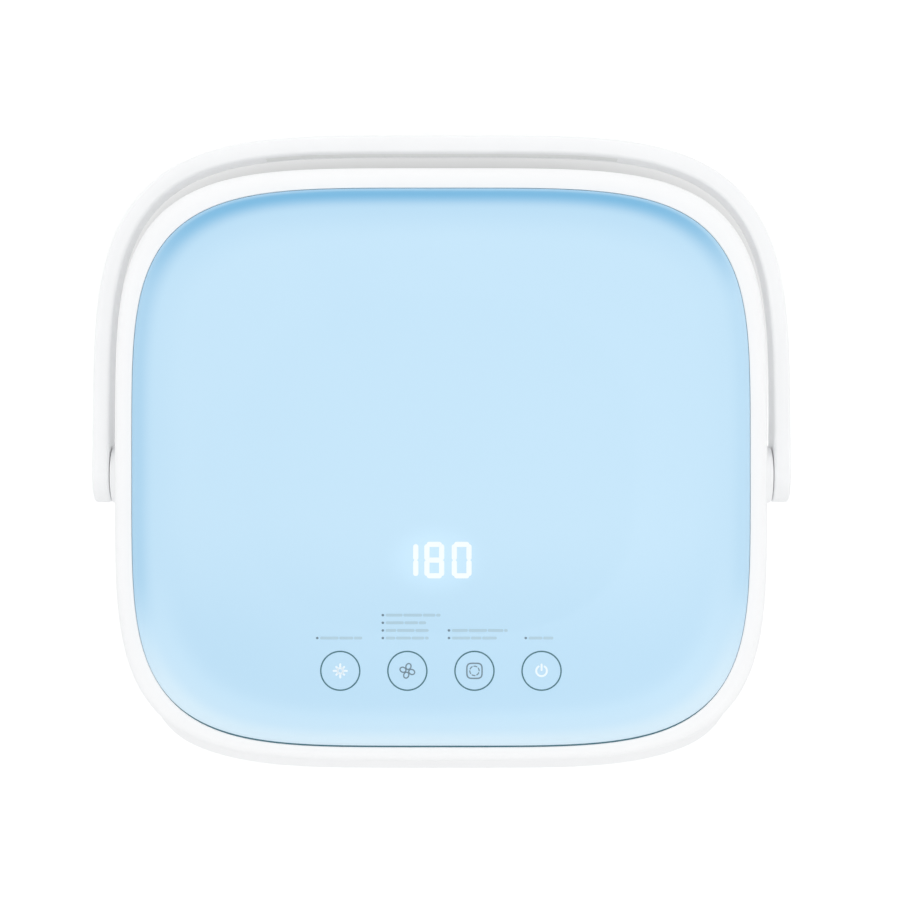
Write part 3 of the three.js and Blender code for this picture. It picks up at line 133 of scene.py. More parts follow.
def superellipse(turn, half, rear, front):
    """Points at the angles of turn, where (|x| / half)^n + (|y| / reach)^n = 1.

    A direction (cos, sin) is divided by (|cos|^n + |sin|^n)^(1/n), which brings it to the unit
    outline, and is then stretched by the half width and by the reach to the rear or the front."""
    c, s = np.cos(turn), np.sin(turn)
    size = (np.abs(c) ** exponent + np.abs(s) ** exponent) ** (1 / exponent)
    return half * c / size, np.where(s < 0, front, rear) * s / size


def even_turns(half, rear, front, count):
    """Angles whose points on the outline lie at equal distances along it."""
    dense = np.linspace(0, 2 * np.pi, 20001)
    x, y = superellipse(dense, half, rear, front)
    walked = np.concatenate([[0], np.cumsum(np.hypot(np.diff(x), np.diff(y)))])
    return np.interp(np.arange(count) / count * walked[-1], walked, dense)


def smooth(share):
    """A share from 0 to 1 that starts and ends gently: 3 s^2 - 2 s^3."""
    share = np.clip(share, 0, 1)
    return share * share * (3 - 2 * share)


class Outline:
    """A superellipse round a middle: places, outward normals and how far in front each point
    lies, from 0 at the sides to 1 at the very front."""

    def __init__(self, half, rear, front, turns, centre_y=middle_y):
        self.x, self.y = superellipse(turns, half, rear, front)
        self.centre_y = centre_y
        reach = np.where(self.y < 0, front, rear)
        slope_x = np.sign(self.x) * (np.abs(self.x) / half) ** (exponent - 1) / half
        slope_y = np.sign(self.y) * (np.abs(self.y) / reach) ** (exponent - 1) / reach
        steep = np.hypot(slope_x, slope_y)
        self.normal_x, self.normal_y = slope_x / steep, slope_y / steep
        self.frontness = np.where(self.y < 0, (np.abs(self.y) / front) ** (exponent / 2), 0)

    def ring(self, inset, height, share=1):
        """share * outline - inset * normal, at a height. Each may differ from point to point."""
        x = self.x * share - inset * self.normal_x
        y = self.y * share - inset * self.normal_y + self.centre_y
        return np.stack([x, y, np.broadcast_to(height, x.shape)], axis=-1)

    def rows(self, *rows):
        """Rings of an inset and a height, each with the rounding of its corner in millimetres."""
        return [(self.ring(inset, height), rounding * mm) for inset, height, rounding in rows]


turns = even_turns(lid_half, lid_rear, lid_front, round_steps)
lid_outline = Outline(lid_half, lid_rear, lid_front, turns)
panel_outline = Outline(panel_half, panel_reach, panel_reach - 0.3 * mm, turns)
step = np.hypot(*np.diff([lid_outline.x, lid_outline.y])).mean()
print(f"{round_steps} points round the lid, {step / mm:.2f} mm apart")

# %% [markdown]
# ## From rings to a closed surface
# A grid of points is enough for most moulded parts: the rows are rings at different heights, the
# columns run from ring to ring. Blender could make such a part with Spin or Screw, but a grid
# keeps every point's place in a formula, and one array operation finds all faces. Real edges are
# never knife sharp, so `softened` first puts an arc in each corner of the profile.

# %% Grids and arcs
arc_steps = 5


def softened(rows, radii, closed=True):
    """A profile whose corners are exchanged for arcs, for all columns at once.

    At a corner P, u and v point to its neighbours. The arc touches the sides at P + t u and
    P + t v, with t = r / tan(half the angle between them), and turns about the point that lies
    r / sin(half the angle) from P along u + v."""
    rows = np.asarray(rows, float)
    count, result = len(rows), []
    for index, radius in enumerate(radii):
        here = rows[index]
        if radius == 0 or (not closed and index in (0, count - 1)):
            result.append(here[None])
            continue
        u, v = rows[index - 1] - here, rows[(index + 1) % count] - here
        long_u, long_v = (np.linalg.norm(side, axis=-1, keepdims=True) for side in (u, v))
        u, v = u / long_u, v / long_v
        half_angle = np.arccos(np.clip((u * v).sum(-1, keepdims=True), -1, 0.9999)) / 2
        touch = np.minimum(radius / np.tan(half_angle), 0.48 * np.minimum(long_u, long_v))
        middle = u + v
        middle = middle / np.maximum(np.linalg.norm(middle, axis=-1, keepdims=True), 1e-9)
        centre = here + middle * touch / np.cos(half_angle)
        start, end = here + u * touch - centre, here + v * touch - centre
        sweep = np.maximum(np.pi - 2 * half_angle, 1e-4)
        share = np.linspace(0, 1, arc_steps + 1)[:, None, None]
        arm = (np.sin((1 - share) * sweep) * start + np.sin(share * sweep) * end) / np.sin(sweep)
        result.append(centre + arm)
    return np.concatenate(result)


def surface(grid, loop=False, poles=()):
    """Points and faces of a grid of rings.

    The point of row i and column j makes one face with its neighbours (i, j + 1),
    (i + 1, j + 1) and (i + 1, j). With loop the last row joins the first. Two poles close the
    first and the last row with triangles. If the enclosed volume, a sixth of the sum of
    a . (b x c), comes out negative, all faces are turned round."""
    rows, columns = grid.shape[:2]
    points = grid.reshape(-1, 3)
    index = np.arange(rows * columns).reshape(rows, columns)
    index = np.hstack([index, index[:, :1]])
    index = np.vstack([index, index[:1]]) if loop else index
    quads = [index[:-1, :-1], index[:-1, 1:], index[1:, 1:], index[1:, :-1]]
    quads = np.stack(quads, axis=-1).reshape(-1, 4)
    caps = np.zeros((0, 3), int)
    if len(poles):
        points = np.vstack([points, poles])
        first, last = (np.full(columns, len(points) - back) for back in (2, 1))
        caps = np.vstack([np.stack([first, index[0, 1:], index[0, :-1]], axis=-1),
                          np.stack([last, index[-1, :-1], index[-1, 1:]], axis=-1)])
    triangles = np.vstack([quads[:, :3], quads[:, [0, 2, 3]], caps])
    a, b, c = (points[triangles[:, corner]] for corner in range(3))
    if (a * np.cross(b, c)).sum() < 0:
        quads, caps = quads[:, ::-1], caps[:, ::-1]
    return points, quads.tolist() + caps.tolist()


def directions(axis):
    """Two unit vectors across an axis, and one along it."""
    return np.roll(np.eye(3), {"x": 2, "y": 1, "z": 0}[axis], axis=0)


def turned(profile, centre, axis="z", sides=64, radii=None):
    """A profile of (radius, distance) turned about an axis: centre + distance * axis
    + radius * (cos t * u + sin t * v). A profile that starts and ends at radius 0 closes by
    itself in two poles; any other closes on itself, as a ring does."""
    profile = np.asarray(profile, float)
    ring = profile[0, 0] > 0
    if radii is not None:
        profile = softened(profile[:, None, :], radii, closed=ring)[:, 0]
    u, v, along = directions(axis)
    t = np.linspace(0, 2 * np.pi, sides, endpoint=False)
    circle = np.cos(t)[:, None] * u + np.sin(t)[:, None] * v
    rows = profile if ring else profile[1:-1]
    grid = np.asarray(centre) + rows[:, 1, None, None] * along + rows[:, 0, None, None] * circle
    poles = () if ring else np.asarray(centre) + profile[[0, -1], 1, None] * along
    return surface(grid, loop=ring, poles=poles)


def rod(radius, low, high, centre, axis="z", sides=48, soft=0.0):
    """A cylinder between two distances along its axis. Its edges are rounded by soft."""
    profile = [(0, low), (radius, low), (radius, high), (0, high)]
    return turned(profile, centre, axis, sides, [0, soft, soft, 0])


print("ways to a closed surface: softened, surface, turned, rod")

# %% [markdown]
# A piece is one mesh of closed parts. It rides on a body of the frame and stands for the CAD nodes
# that it dresses. Holes are cut afterwards with a Boolean, which needs only the shape of the hole.

# %% Pieces and cuts
def mesh_of(name, parts):
    """One mesh of several closed parts, each given as its points and faces."""
    points, faces, first = [], [], 0
    for part_points, part_faces in parts:
        points.append(part_points)
        faces += [[first + corner for corner in face] for face in part_faces]
        first += len(part_points)
    mesh = bpy.data.meshes.new(name)
    mesh.from_pydata(np.vstack(points).tolist(), [], faces)
    return mesh


def creased(mesh, angle):
    """Smooth shading with sharp edges, where two faces meet at more than an angle in degrees."""
    mesh.shade_smooth()
    mesh.set_sharp_from_angle(angle=math.radians(angle))


def piece(name, parts, body, finish, *nodes, crease=38):
    """One object of several closed surfaces, riding on a body and standing for CAD nodes."""
    mesh = mesh_of(name, parts)
    creased(mesh, crease)
    mesh.materials.append(finish)
    obj = new_object(name, mesh)
    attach(obj, body)
    if nodes:
        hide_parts(*nodes)
    return obj


def cut_out(obj, cutters, crease=38, crossing=False):
    """Takes closed cutters out of a piece with Blender's exact Boolean, then creases it again.

    crossing is for closed parts that run into each other. They become one skin."""
    cutter = new_object("cutter", mesh_of("cutter", cutters))
    modifier = obj.modifiers.new("cut", "BOOLEAN")
    modifier.operation, modifier.solver = "DIFFERENCE", "EXACT"
    modifier.use_self, modifier.object = crossing, cutter
    evaluated = obj.evaluated_get(bpy.context.evaluated_depsgraph_get())
    cut_mesh = bpy.data.meshes.new_from_object(evaluated)
    obj.modifiers.clear()
    old, used = obj.data, cutter.data
    cut_mesh.name = old.name
    obj.data = cut_mesh
    bpy.data.objects.remove(cutter)
    for mesh in (old, used):
        bpy.data.meshes.remove(mesh)
    creased(cut_mesh, crease)


print("ways to a piece: mesh_of, piece, cut_out")

# %% [markdown]
# ## Finishes
# Nearly all that is seen is moulded plastic, polished panel, rubber or steel. None of them is one
# flat colour: a moulding has a faint orange peel and a slow change of gloss where it cooled, a
# steel sheet keeps the lines of its rolling. An image texture could show this, but noise nodes
# read the place on the object itself, in metres, and so have the right size everywhere.

# %% Short ways to write shader nodes
def feed(target, inputs):
    """Gives a node its inputs. Each is a plain value, or a socket that gets linked to it."""
    for key, value in dict(inputs).items():
        if isinstance(value, bpy.types.NodeSocket):
            target.id_data.links.new(value, target.inputs[key])
        else:
            target.inputs[key].default_value = value


def node(tree, kind, inputs=(), **settings):
    """A new shader node with its settings and its inputs."""
    made = tree.nodes.new("ShaderNode" + kind)
    for key, value in settings.items():
        setattr(made, key, value)
    feed(made, inputs)
    return made


def worked_out(tree, operation, *values, kind="VectorMath", **settings):
    """The result of a sum with vectors, or with plain numbers if kind is Math."""
    made = node(tree, kind, dict(enumerate(values)), operation=operation, **settings)
    return made.outputs["Value" if operation == "LENGTH" else 0]


def ranged(tree, value, old, new=(0.0, 1.0), easing="SMOOTHSTEP", clamp=True):
    """A value brought from its old range to a new one."""
    limits = dict(zip(("From Min", "From Max", "To Min", "To Max"), (*old, *new)))
    made = node(tree, "MapRange", {"Value": value, **limits}, interpolation_type=easing, clamp=clamp)
    return made.outputs["Result"]


def place_on(tree):
    """The place on the object itself, in metres."""
    return node(tree, "TexCoord").outputs["Object"]


def speckle(tree, size, low, high, detail=2.0, stretch=(1, 1, 1)):
    """Noise with grains of a size in metres, brought to the range from low to high."""
    place = worked_out(tree, "MULTIPLY", place_on(tree), stretch)
    noise = node(tree, "TexNoise", {"Vector": place, "Scale": 1 / size, "Detail": detail})
    return ranged(tree, noise.outputs["Fac"], (0.2, 0.8), (low, high), "LINEAR", clamp=False)


def blended(tree, share, first, second):
    """A colour between two colours, by a share from 0 to 1."""
    ends = [value if isinstance(value, bpy.types.NodeSocket) else (*value, 1)
            for value in (first, second)]
    return node(tree, "Mix", {0: share, 6: ends[0], 7: ends[1]}, data_type="RGBA").outputs[2]


def raised(tree, height, distance):
    """A small relief, whose full height is a distance in metres, as the shader's new normal."""
    return node(tree, "Bump", {"Height": height, "Distance": distance, "Strength": 1.0}).outputs["Normal"]


def tinted(colour, factor):
    """A colour made a little darker or lighter."""
    return tuple(min(1.0, channel * factor) for channel in colour)


def finish_named(name, colour, roughness, metallic=0.0):
    """A new material with its node tree and its main shader."""
    material = bpy.data.materials.new(name)
    material.use_nodes = True
    shader = material.node_tree.nodes["Principled BSDF"]
    feed(shader, {"Base Color": (*colour, 1), "Roughness": roughness, "Metallic": metallic})
    return material, material.node_tree, shader


print("finish helpers ready")

# %% [markdown]
# The white mouldings are glossy, slightly cool white plastic. Light makes their relief visible
# only near a highlight: grains of about a millimetre, a hundredth of a millimetre high.

# %% Moulded plastic, rubber and print
white = (0.92, 0.927, 0.935)


def moulded(name, colour, gloss, peel=0.006, more=()):
    """Moulded plastic: slow gloss changes, a touch of mottle and a peel, its height in millimetres."""
    material, tree, shader = finish_named(name, colour, gloss)
    mottle = speckle(tree, 30 * mm, 0, 1)
    feed(shader, {"Base Color": blended(tree, mottle, tinted(colour, 0.99), tinted(colour, 1.01)),
                  "Roughness": speckle(tree, 18 * mm, gloss - 0.03, gloss + 0.03),
                  "Normal": raised(tree, speckle(tree, 1.1 * mm, 0, 1, detail=1), peel * mm),
                  "IOR": 1.5, **dict(more)})
    return material


white_plastic = moulded("white_moulded_plastic", white, 0.34)
inner_white = moulded("white_inner_moulding", tinted(white, 0.97), 0.42, 0.012)
black_plastic = moulded("black_technical_plastic", (0.018, 0.018, 0.02), 0.5, 0.03)
grip_soft = moulded("soft_touch_grip", (0.84, 0.85, 0.835), 0.72, 0.04)
foot_rubber = moulded("foot_rubber", (0.12, 0.125, 0.13), 0.82, 0.05)
seal_silicone = moulded("seal_silicone", (0.7, 0.76, 0.79), 0.5, 0.02,
                        {"Subsurface Weight": 0.2, "Subsurface Scale": 2 * mm})
# teal print of the key rings, also used as painted shade for the strip in the panel's seam
teal_print_and_seam_shade = moulded("teal_ring_print_and_seam_shade", (0.055, 0.165, 0.21), 0.35, 0.001)
grey_print = moulded("grey_symbol_print", (0.16, 0.24, 0.3), 0.35, 0.001)
pale_print = moulded("pale_mark_print", (0.42, 0.6, 0.71), 0.35, 0.001)
print("six moulded finishes and three prints")

# %% [markdown]
# The chamber and the lid's reflector are bright annealed steel, which throws the ultraviolet light
# back. The mirror isn't perfect: the sheet was rolled, so very fine lines run one way, and deep
# drawing left slow waves. Wires, screws and pins are plain drawn steel with a satin surface.

# %% Steel, aluminium and nickel
def metal(name, colour, gloss, line_size, line_height, waves=0.0, stretch=(1, 60, 60)):
    """Rolled or drawn metal: noise pulled out to long lines, with slow waves under it."""
    material, tree, shader = finish_named(name, colour, gloss, metallic=1.0)
    height = lines = speckle(tree, line_size, 0, 1, detail=3, stretch=stretch)
    if waves:
        slow = speckle(tree, 35 * mm, 0, waves / line_height)
        height = worked_out(tree, "ADD", lines, slow, kind="Math")
    feed(shader, {"Base Color": blended(tree, lines, tinted(colour, 0.95), tinted(colour, 1.03)),
                  "Roughness": speckle(tree, line_size, gloss * 0.8, gloss * 1.25, stretch=stretch),
                  "Normal": raised(tree, height, line_height)})
    return material


mirror_steel = metal("mirror_steel_sheet", (0.88, 0.885, 0.89), 0.2, 60 * mm, 0.0006 * mm, 0.02 * mm)
satin_steel = metal("satin_steel_wire", (0.6, 0.61, 0.62), 0.26, 20 * mm, 0.002 * mm)
heater_aluminium = metal("heater_fin_aluminium", (0.62, 0.63, 0.64), 0.38, 12 * mm, 0.004 * mm,
                         stretch=(40, 40, 1))
magnet_nickel = metal("magnet_nickel", (0.66, 0.65, 0.62), 0.16, 10 * mm, 0.001 * mm, stretch=(1, 1, 1))
print("four metals")

# %% [markdown]
# The touch panel is a pale blue plate with a clear polished face. Its colour sits under a clear
# coat, so lamps show as crisp lights on it while the blue stays even. A value stored on the plate's
# points paints light into the colour: above 0 it deepens the blue as painted shade, below 0 it pales
# it as a painted highlight. Round the digits the plate itself glows a little, as a painted glow.

# %% The blue panel and the lit windows
digit_middle = in_mm(-2.6, -36.5)
# the second colour is the blue of painted shade, the third the pale blue of a painted highlight
panel_blue, panel_shade_blue, panel_highlight_blue = (0.54, 0.765, 0.93), (0.17, 0.46, 0.72), (0.8, 0.92, 0.98)

blue_panel, tree, shader = finish_named("blue_touch_panel", panel_blue, 0.28)
# painted light: a value stored on the points deepens the blue as painted shade and pales it as painted
# highlight
painted_light = node(tree, "Attribute", attribute_name="painted_light").outputs["Fac"]
cloud = speckle(tree, 60 * mm, -0.02, 0.02)
painted_shade_and_cloud = worked_out(tree, "ADD", painted_light, cloud, kind="Math", use_clamp=True)
painted_highlight = worked_out(tree, "MULTIPLY", painted_light, -1.0, kind="Math", use_clamp=True)
colour = blended(tree, painted_shade_and_cloud, panel_blue, panel_shade_blue)
# painted glow: the plate itself shines a little round the digits, in a patch about 24 by 18 mm
digits = Vector((digit_middle[0], middle_y + digit_middle[1], crown_top))
glow_size = Vector((1 / (24 * mm), 1 / (18 * mm), 0))
near = worked_out(tree, "SUBTRACT", place_on(tree), digits)
near = worked_out(tree, "LENGTH", worked_out(tree, "MULTIPLY", near, glow_size))
feed(shader, {"Base Color": blended(tree, painted_highlight, colour, panel_highlight_blue),
              "Emission Strength": ranged(tree, near, (0.2, 1), (0.06, 0), "SMOOTHERSTEP"),
              "Emission Color": (0.8, 0.93, 1, 1), "Coat Weight": 0.35, "Coat Roughness": 0.1,
              "IOR": 1.49, "Normal": raised(tree, speckle(tree, 25 * mm, 0, 1, detail=0), 0.006 * mm)})


def lit(name, colour, light, strength):
    """A printed window that is lit from behind, with a light that is never quite even."""
    material, tree, shader = finish_named(name, colour, 0.3)
    feed(shader, {"Emission Color": (*light, 1),
                  "Emission Strength": speckle(tree, 4 * mm, strength * 0.94, strength * 1.04)})
    return material


lit_white = lit("lit_window", (0.5, 0.52, 0.53), (0.88, 0.98, 1.0), 0.46)
dim_white = lit("lit_key_window", (0.7, 0.79, 0.86), (0.9, 1.0, 1.0), 0.13)
print("panel and lit windows")

# %% [markdown]
# Boards and quartz sit deeper in the box. A circuit board is glass fibre under a coloured solder
# mask, which shows the weave. Quartz is clear, and only its edge and its reflections are seen.

# %% Boards and quartz
def board(name, mask, copper):
    """A circuit board: solder mask over straight copper tracks and the weave of the glass fibre."""
    material, tree, shader = finish_named(name, mask, 0.35)
    tracks = node(tree, "TexBrick", {
        "Vector": place_on(tree), "Scale": 1.0, "Color1": (1, 1, 1, 1), "Color2": (1, 1, 1, 1),
        "Mortar": (0, 0, 0, 1), "Mortar Size": 0.35 * mm, "Brick Width": 9 * mm, "Row Height": 3.1 * mm})
    weave = node(tree, "TexWave", {"Vector": place_on(tree), "Scale": 1 / (1.2 * mm)},
                 bands_direction="DIAGONAL")
    feed(shader, {"Base Color": blended(tree, tracks.outputs["Fac"], mask, copper),
                  "Normal": raised(tree, weave.outputs["Fac"], 0.004 * mm)})
    return material


green_board = board("green_circuit_board", (0.015, 0.13, 0.05), (0.03, 0.22, 0.09))
white_board = board("white_diode_board", (0.78, 0.79, 0.77), (0.7, 0.71, 0.69))
quartz, tree, shader = finish_named("quartz_window", (0.97, 0.98, 1), 0.02)
feed(shader, {"Transmission Weight": 0.92, "IOR": 1.46,
              "Normal": raised(tree, speckle(tree, 3 * mm, 0, 1), 0.002 * mm)})
print("boards and quartz")

# %% [markdown]
# ## The lid
# The lid is three mouldings and a gasket. The white frame carries everything: it starts tucked in
# at the parting line, bulges to the rim and rolls over to a flat land, with a seat for the panel
# inside. A profile carried round the outline makes all of it at once. Along the middle of the front
# the lower edge swells to a lip that a finger lifts, which one inset that changes along the ring
# gives, where a separate solid would need a joint.

# %% Lid frame
lid_flange, seat_width, panel_plate, lid_wall = in_mm(20.5, 6, 2.3, 2.5)
seal_inset, groove_half, liner_sheet = in_mm(16, 2, 1.5)
liner_inset = lid_tuck + lid_flange - 3.7 * mm
seam_gap = (0.16 + 0.48 * smooth((panel_outline.frontness - 0.55) / 0.4)) * mm
lip_share = smooth((lid_outline.frontness - 0.4) / 0.45)
seat_height = rim_land - panel_plate - fit_gap
lid_wall_height = rim_land - parting_line


def moulding(name, rows, body, finish, *nodes, caps=(), crease=38):
    """A piece of softened rings, closed on itself, or by two caps whose heights are given."""
    grid, radii = zip(*rows)
    grid = softened(grid, radii, closed=not caps)
    poles = [(0, middle_y, height) for height in caps]
    return piece(name, [surface(grid, loop=not caps, poles=poles)], body, finish, *nodes, crease=crease)


def with_lip(tuck, reach):
    """An inset that runs over from the tuck of the wall to the reach of the lift lip."""
    return tuck + (-reach - tuck) * lip_share


lid_frame = moulding(
    "lid_frame_moulding",
    lid_outline.rows(
        (with_lip(lid_tuck, lift_lip), parting_line, 0.6),
        (with_lip(0.86 * lid_tuck, lift_lip), parting_line + 1.8 * mm, 0.9),
        (with_lip(0.55 * lid_tuck, 0.2 * lift_lip), parting_line + 5.2 * mm, 2.5),
        (0, parting_line + 0.42 * lid_wall_height, 22),
        (0.1 * mm, rim_land, 4.6))
    + panel_outline.rows(
        (-seam_gap, rim_land, 0.35), (-seam_gap, seat_height, 0.2),
        (seat_width, seat_height, 0.2), (seat_width, seat_height - 2 * mm, 0.3))
    + lid_outline.rows(
        (lid_wall, parting_line + 0.7 * lid_wall_height, 1),
        (lid_wall + lid_tuck, parting_line + 3.5 * mm, 1),
        (lid_tuck + lid_flange, parting_line + 3.5 * mm, 0.4),
        (lid_tuck + lid_flange, parting_line + liner_sheet + fit_gap, 0.2),
        (liner_inset - fit_gap, parting_line + liner_sheet + fit_gap, 0.2),
        (liner_inset - fit_gap, parting_line, 0.3),
        (seal_inset + groove_half, parting_line, 0.3),
        (seal_inset + groove_half, parting_line + 2 * mm, 0.2),
        (seal_inset - groove_half, parting_line + 2 * mm, 0.2),
        (seal_inset - groove_half, parting_line, 0.3)),
    "lid", white_plastic, "lid_frame")
print("lid frame:", len(lid_frame.data.polygons), "faces")

# %% [markdown]
# Two pin hinges join lid and body at the rear. Each has a knuckle on the lid between two ears on
# the body, and a steel pin through all three. A knuckle is a short tube with a web that runs into
# the flange. The lid gives room to the ears, and the body to the knuckles.

# %% Hinge knuckles and ears
pin_radius, knuckle_half, knuckle_gap, ear_length, turning_room = in_mm(1.5, 8, 0.5, 8, 0.4)
hinge_z = parting_line
sides = (-1, 1)
corner_turns = (np.linspace(0, np.pi / 2, 7) + np.arange(4)[:, None] * np.pi / 2).ravel()
corner_u, corner_v = np.repeat([1, -1, -1, 1], 7), np.repeat([1, 1, -1, -1], 7)


def round_corners(half_u, half_v, corner, radius):
    """A rectangle whose corners are quarter circles, as its two coordinates:
    side * (half - corner) + radius * cos a, and the same with sin a."""
    return (corner_u * (half_u - corner) + radius * np.cos(corner_turns),
            corner_v * (half_v - corner) + radius * np.sin(corner_turns))


def slab(low, high, corner, axis="z", edge=0.2 * mm):
    """A block between two corners, with a rounded outline across an axis and rolled edges.

    At an angle a on the rolled edge the ring lies edge * (1 - sin a) inside the outline and
    edge * (1 - cos a) from the face."""
    low, high = np.asarray(low, float), np.asarray(high, float)
    u, v, along = directions(axis)
    middle, half = (low + high) / 2, (high - low) / 2
    corner = min(corner, half @ u, half @ v)
    edge = min(edge, corner, 0.45 * half @ along)
    roll = np.linspace(0, np.pi / 2, 4)
    inset = edge * (1 - np.sin(np.concatenate([roll, roll[::-1]])))
    rise = half @ along - edge * (1 - np.cos(roll))
    rise = np.concatenate([-rise, rise[::-1]])
    reach_u, reach_v = round_corners(half @ u, half @ v, corner, corner - inset[:, None])
    grid = middle + reach_u[..., None] * u + reach_v[..., None] * v + rise[:, None, None] * along
    return surface(grid, poles=middle + np.outer([-half @ along, half @ along], along))


def knuckle(x_low, x_high, upwards):
    """A hinge tube between two places along x, and the web that joins it to its plate."""
    half, bore = (x_high - x_low) / 2, pin_radius + 0.15 * mm
    tube = turned([(bore, -half), (knuckle_radius, -half), (knuckle_radius, half), (bore, half)],
                  ((x_low + x_high) / 2, hinge_y, hinge_z), "x", 48, in_mm(0.15, 0.4, 0.4, 0.15))
    rise = sorted([hinge_z + upwards * 0.6 * pin_radius, hinge_z + upwards * 2.7 * mm])
    web = slab((x_low, hinge_y - 2 * knuckle_radius, rise[0]), (x_high, hinge_y - bore, rise[1]),
               0.4 * mm, edge=0.3 * mm)
    return [tube, web]


def hinge_room(spans, spare=knuckle_gap / 2):
    """Closed bars along the hinge axis, to cut room for what turns there."""
    return [rod(knuckle_radius + turning_room, (low - high) / 2 - spare, (high - low) / 2 + spare,
                ((low + high) / 2, hinge_y, hinge_z), "x") for low, high in spans]


ear_start = knuckle_half + knuckle_gap
ears = [(side * hinge_x + start, side * hinge_x + start + ear_length)
        for side in sides for start in (-ear_start - ear_length, ear_start)]
lid_knuckles = [(side * hinge_x - knuckle_half, side * hinge_x + knuckle_half) for side in sides]
magnets = [corners_of("lid_magnet_left"), corners_of("lid_magnet_right")]
pockets = [slab(low - fit_gap - [0, 0, mm], high + fit_gap, 0.8 * mm) for low, high in magnets]
cut_out(lid_frame, pockets + hinge_room(ears))
piece("lid_hinge_knuckles", sum([knuckle(*span, 1) for span in lid_knuckles], []), "lid",
      white_plastic, crease=30)
print("hinge axis at", np.round(np.array([hinge_x, hinge_y, hinge_z]) / mm, 2), "mm")

# %% [markdown]
# The panel is one moulded plate. Its face is a gentle dome that rolls down steeply in the last few
# millimetres, so the blue meets the white rim in a thin dark seam. The height is a formula of the
# share of the way from the middle to the edge, which serves the face, the artwork and the springs.
# The plate rests against the rear of its seat, so the seam is a hair wide there and half a
# millimetre wide in front, where a dark teal strip down in the seam is painted shade that shows as a teal
# line.

# %% Touch panel
crown_rise, edge_roll = crown_top - rim_land, 2.6 * mm
dome_power, roll_power = 3, 50


def dome_height(share):
    """crown top - dome * share^3 - roll * share^50: nearly flat inside, steep at the very edge."""
    return crown_top - (crown_rise - edge_roll) * share ** dome_power - edge_roll * share ** roll_power


def share_at(x, y):
    """The share of the way from the middle to the panel's edge, from |x/a|^n + |y/b|^n = share^n."""
    across = np.abs(x / panel_half) ** exponent + np.abs((y - middle_y) / panel_reach) ** exponent
    return across ** (1 / exponent)


def domes(shares, drop=0.0):
    """Rings of the dome at some shares, lowered by a drop."""
    return [(panel_outline.ring(0, dome_height(share) - drop, share), 0.35 * mm * (share == 1))
            for share in shares]


face = domes(1 - (1 - np.linspace(0.012, 1, 64)) ** 1.7)
edge = panel_outline.rows((0, rim_land - panel_plate, 0.3),
                          (seat_width + seam_gap, rim_land - panel_plate, 0.3))
under = domes(np.linspace(0.92, 0.04, 24), panel_plate)
touch_panel = moulding("lid_touch_panel", face + edge + under, "lid", blue_panel, "lid_panel",
                       caps=(crown_top, crown_top - panel_plate), crease=60)


def panel_painted_light(points):
    """Painted light on the blue, above 0 as painted shade and below 0 as painted highlight: along the
    edge painted shade in a narrow and a wide band, each a smooth step of the share of the way out,
    strong at the rear, weaker at the left and weakest at the right; painted highlight along the
    front and on a thin line at the rear edge. The field before the keys gets a little painted
    shade, deeper than the middle."""
    x, y = points[:, 0], points[:, 1]
    share = share_at(x, y)
    across, along = np.clip(x / panel_half, -1, 1), np.clip((y - middle_y) / panel_reach, -1, 1)
    narrow, wide, rim = (smooth((share - low) / (high - low))
                         for low, high in ((0.925, 0.98), (0.8, 0.96), (0.985, 0.998)))
    rear, front = smooth((along - 0.58) / 0.4), smooth((-along - 0.35) / 0.5)
    side = 0.26 - 0.12 * across
    depth = (side + (1 - side) * rear) * (1 - front) - 0.5 * front
    field = 0.15 * smooth((-along - 0.15) / 0.6) * (1 - smooth((share - 0.84) / 0.09))
    return (0.78 * narrow + 0.22 * wide) * depth - 0.5 * rim * rear + field


plate = touch_panel.data
places = np.empty(3 * len(plate.vertices))
plate.vertices.foreach_get("co", places)
painted_light_values = panel_painted_light(places.reshape(-1, 3)).astype(np.float32)
plate.attributes.new("painted_light", "FLOAT", "POINT").data.foreach_set("value", painted_light_values)

# painted shade: a dark teal strip down in the seam between the panel and the rim
strip_slack, strip_top = in_mm(0.03, 0) + [0, rim_land - 0.45 * mm]
moulding("panel_seam_shade_strip",
         panel_outline.rows((strip_slack - seam_gap, strip_top, 0.03),
                            (strip_slack - seam_gap, seat_height + strip_slack, 0.03),
                            (-strip_slack, seat_height + strip_slack, 0.03),
                            (-strip_slack, strip_top, 0.03)), "lid", teal_print_and_seam_shade)
print(f"panel {2 * panel_half / mm:.1f} x {2 * panel_reach / mm:.1f} mm, dome {crown_rise / mm:.1f} mm")

# %% [markdown]
# Under the lid, a silicone gasket sits in its groove and touches the collar with a soft tip. The
# steel liner rises behind its lip to a flat field with six ports for the ultraviolet diodes.

# %% Gasket and liner
seal_half, seal_back = 1.7 * mm, parting_line + 1.7 * mm
moulding("lid_gasket",
         lid_outline.rows((seal_inset - seal_half, seal_back, 0.3),
                          (seal_inset - seal_half, parting_line, 0.5),
                          (seal_inset, collar_top + fit_gap, 0.8),
                          (seal_inset + seal_half, parting_line, 0.5),
                          (seal_inset + seal_half, seal_back, 0.3)),
         "lid", seal_silicone, "lid_seal", crease=60)

liner_rise, lip_width, port_radius, port_reach = in_mm(5.5, 6, 6, 8)
slope_inset = liner_inset + 13 * mm
field_low = parting_line + liner_rise
lid_reflector = moulding(
    "lid_reflector_liner",
    lid_outline.rows((slope_inset + liner_sheet, field_low, 0),
                     (liner_inset + lip_width + liner_sheet, parting_line, 2.5),
                     (liner_inset, parting_line, 0.6),
                     (liner_inset, parting_line + liner_sheet, 0.6),
                     (liner_inset + lip_width, parting_line + liner_sheet, 1),
                     (slope_inset, field_low + liner_sheet, 0)),
    "lid", mirror_steel, "lid_liner", caps=(field_low, field_low + liner_sheet))
windows = [f"lid_uv_window_{place}_{number}" for place in ("front", "rear") for number in (1, 2, 3)]


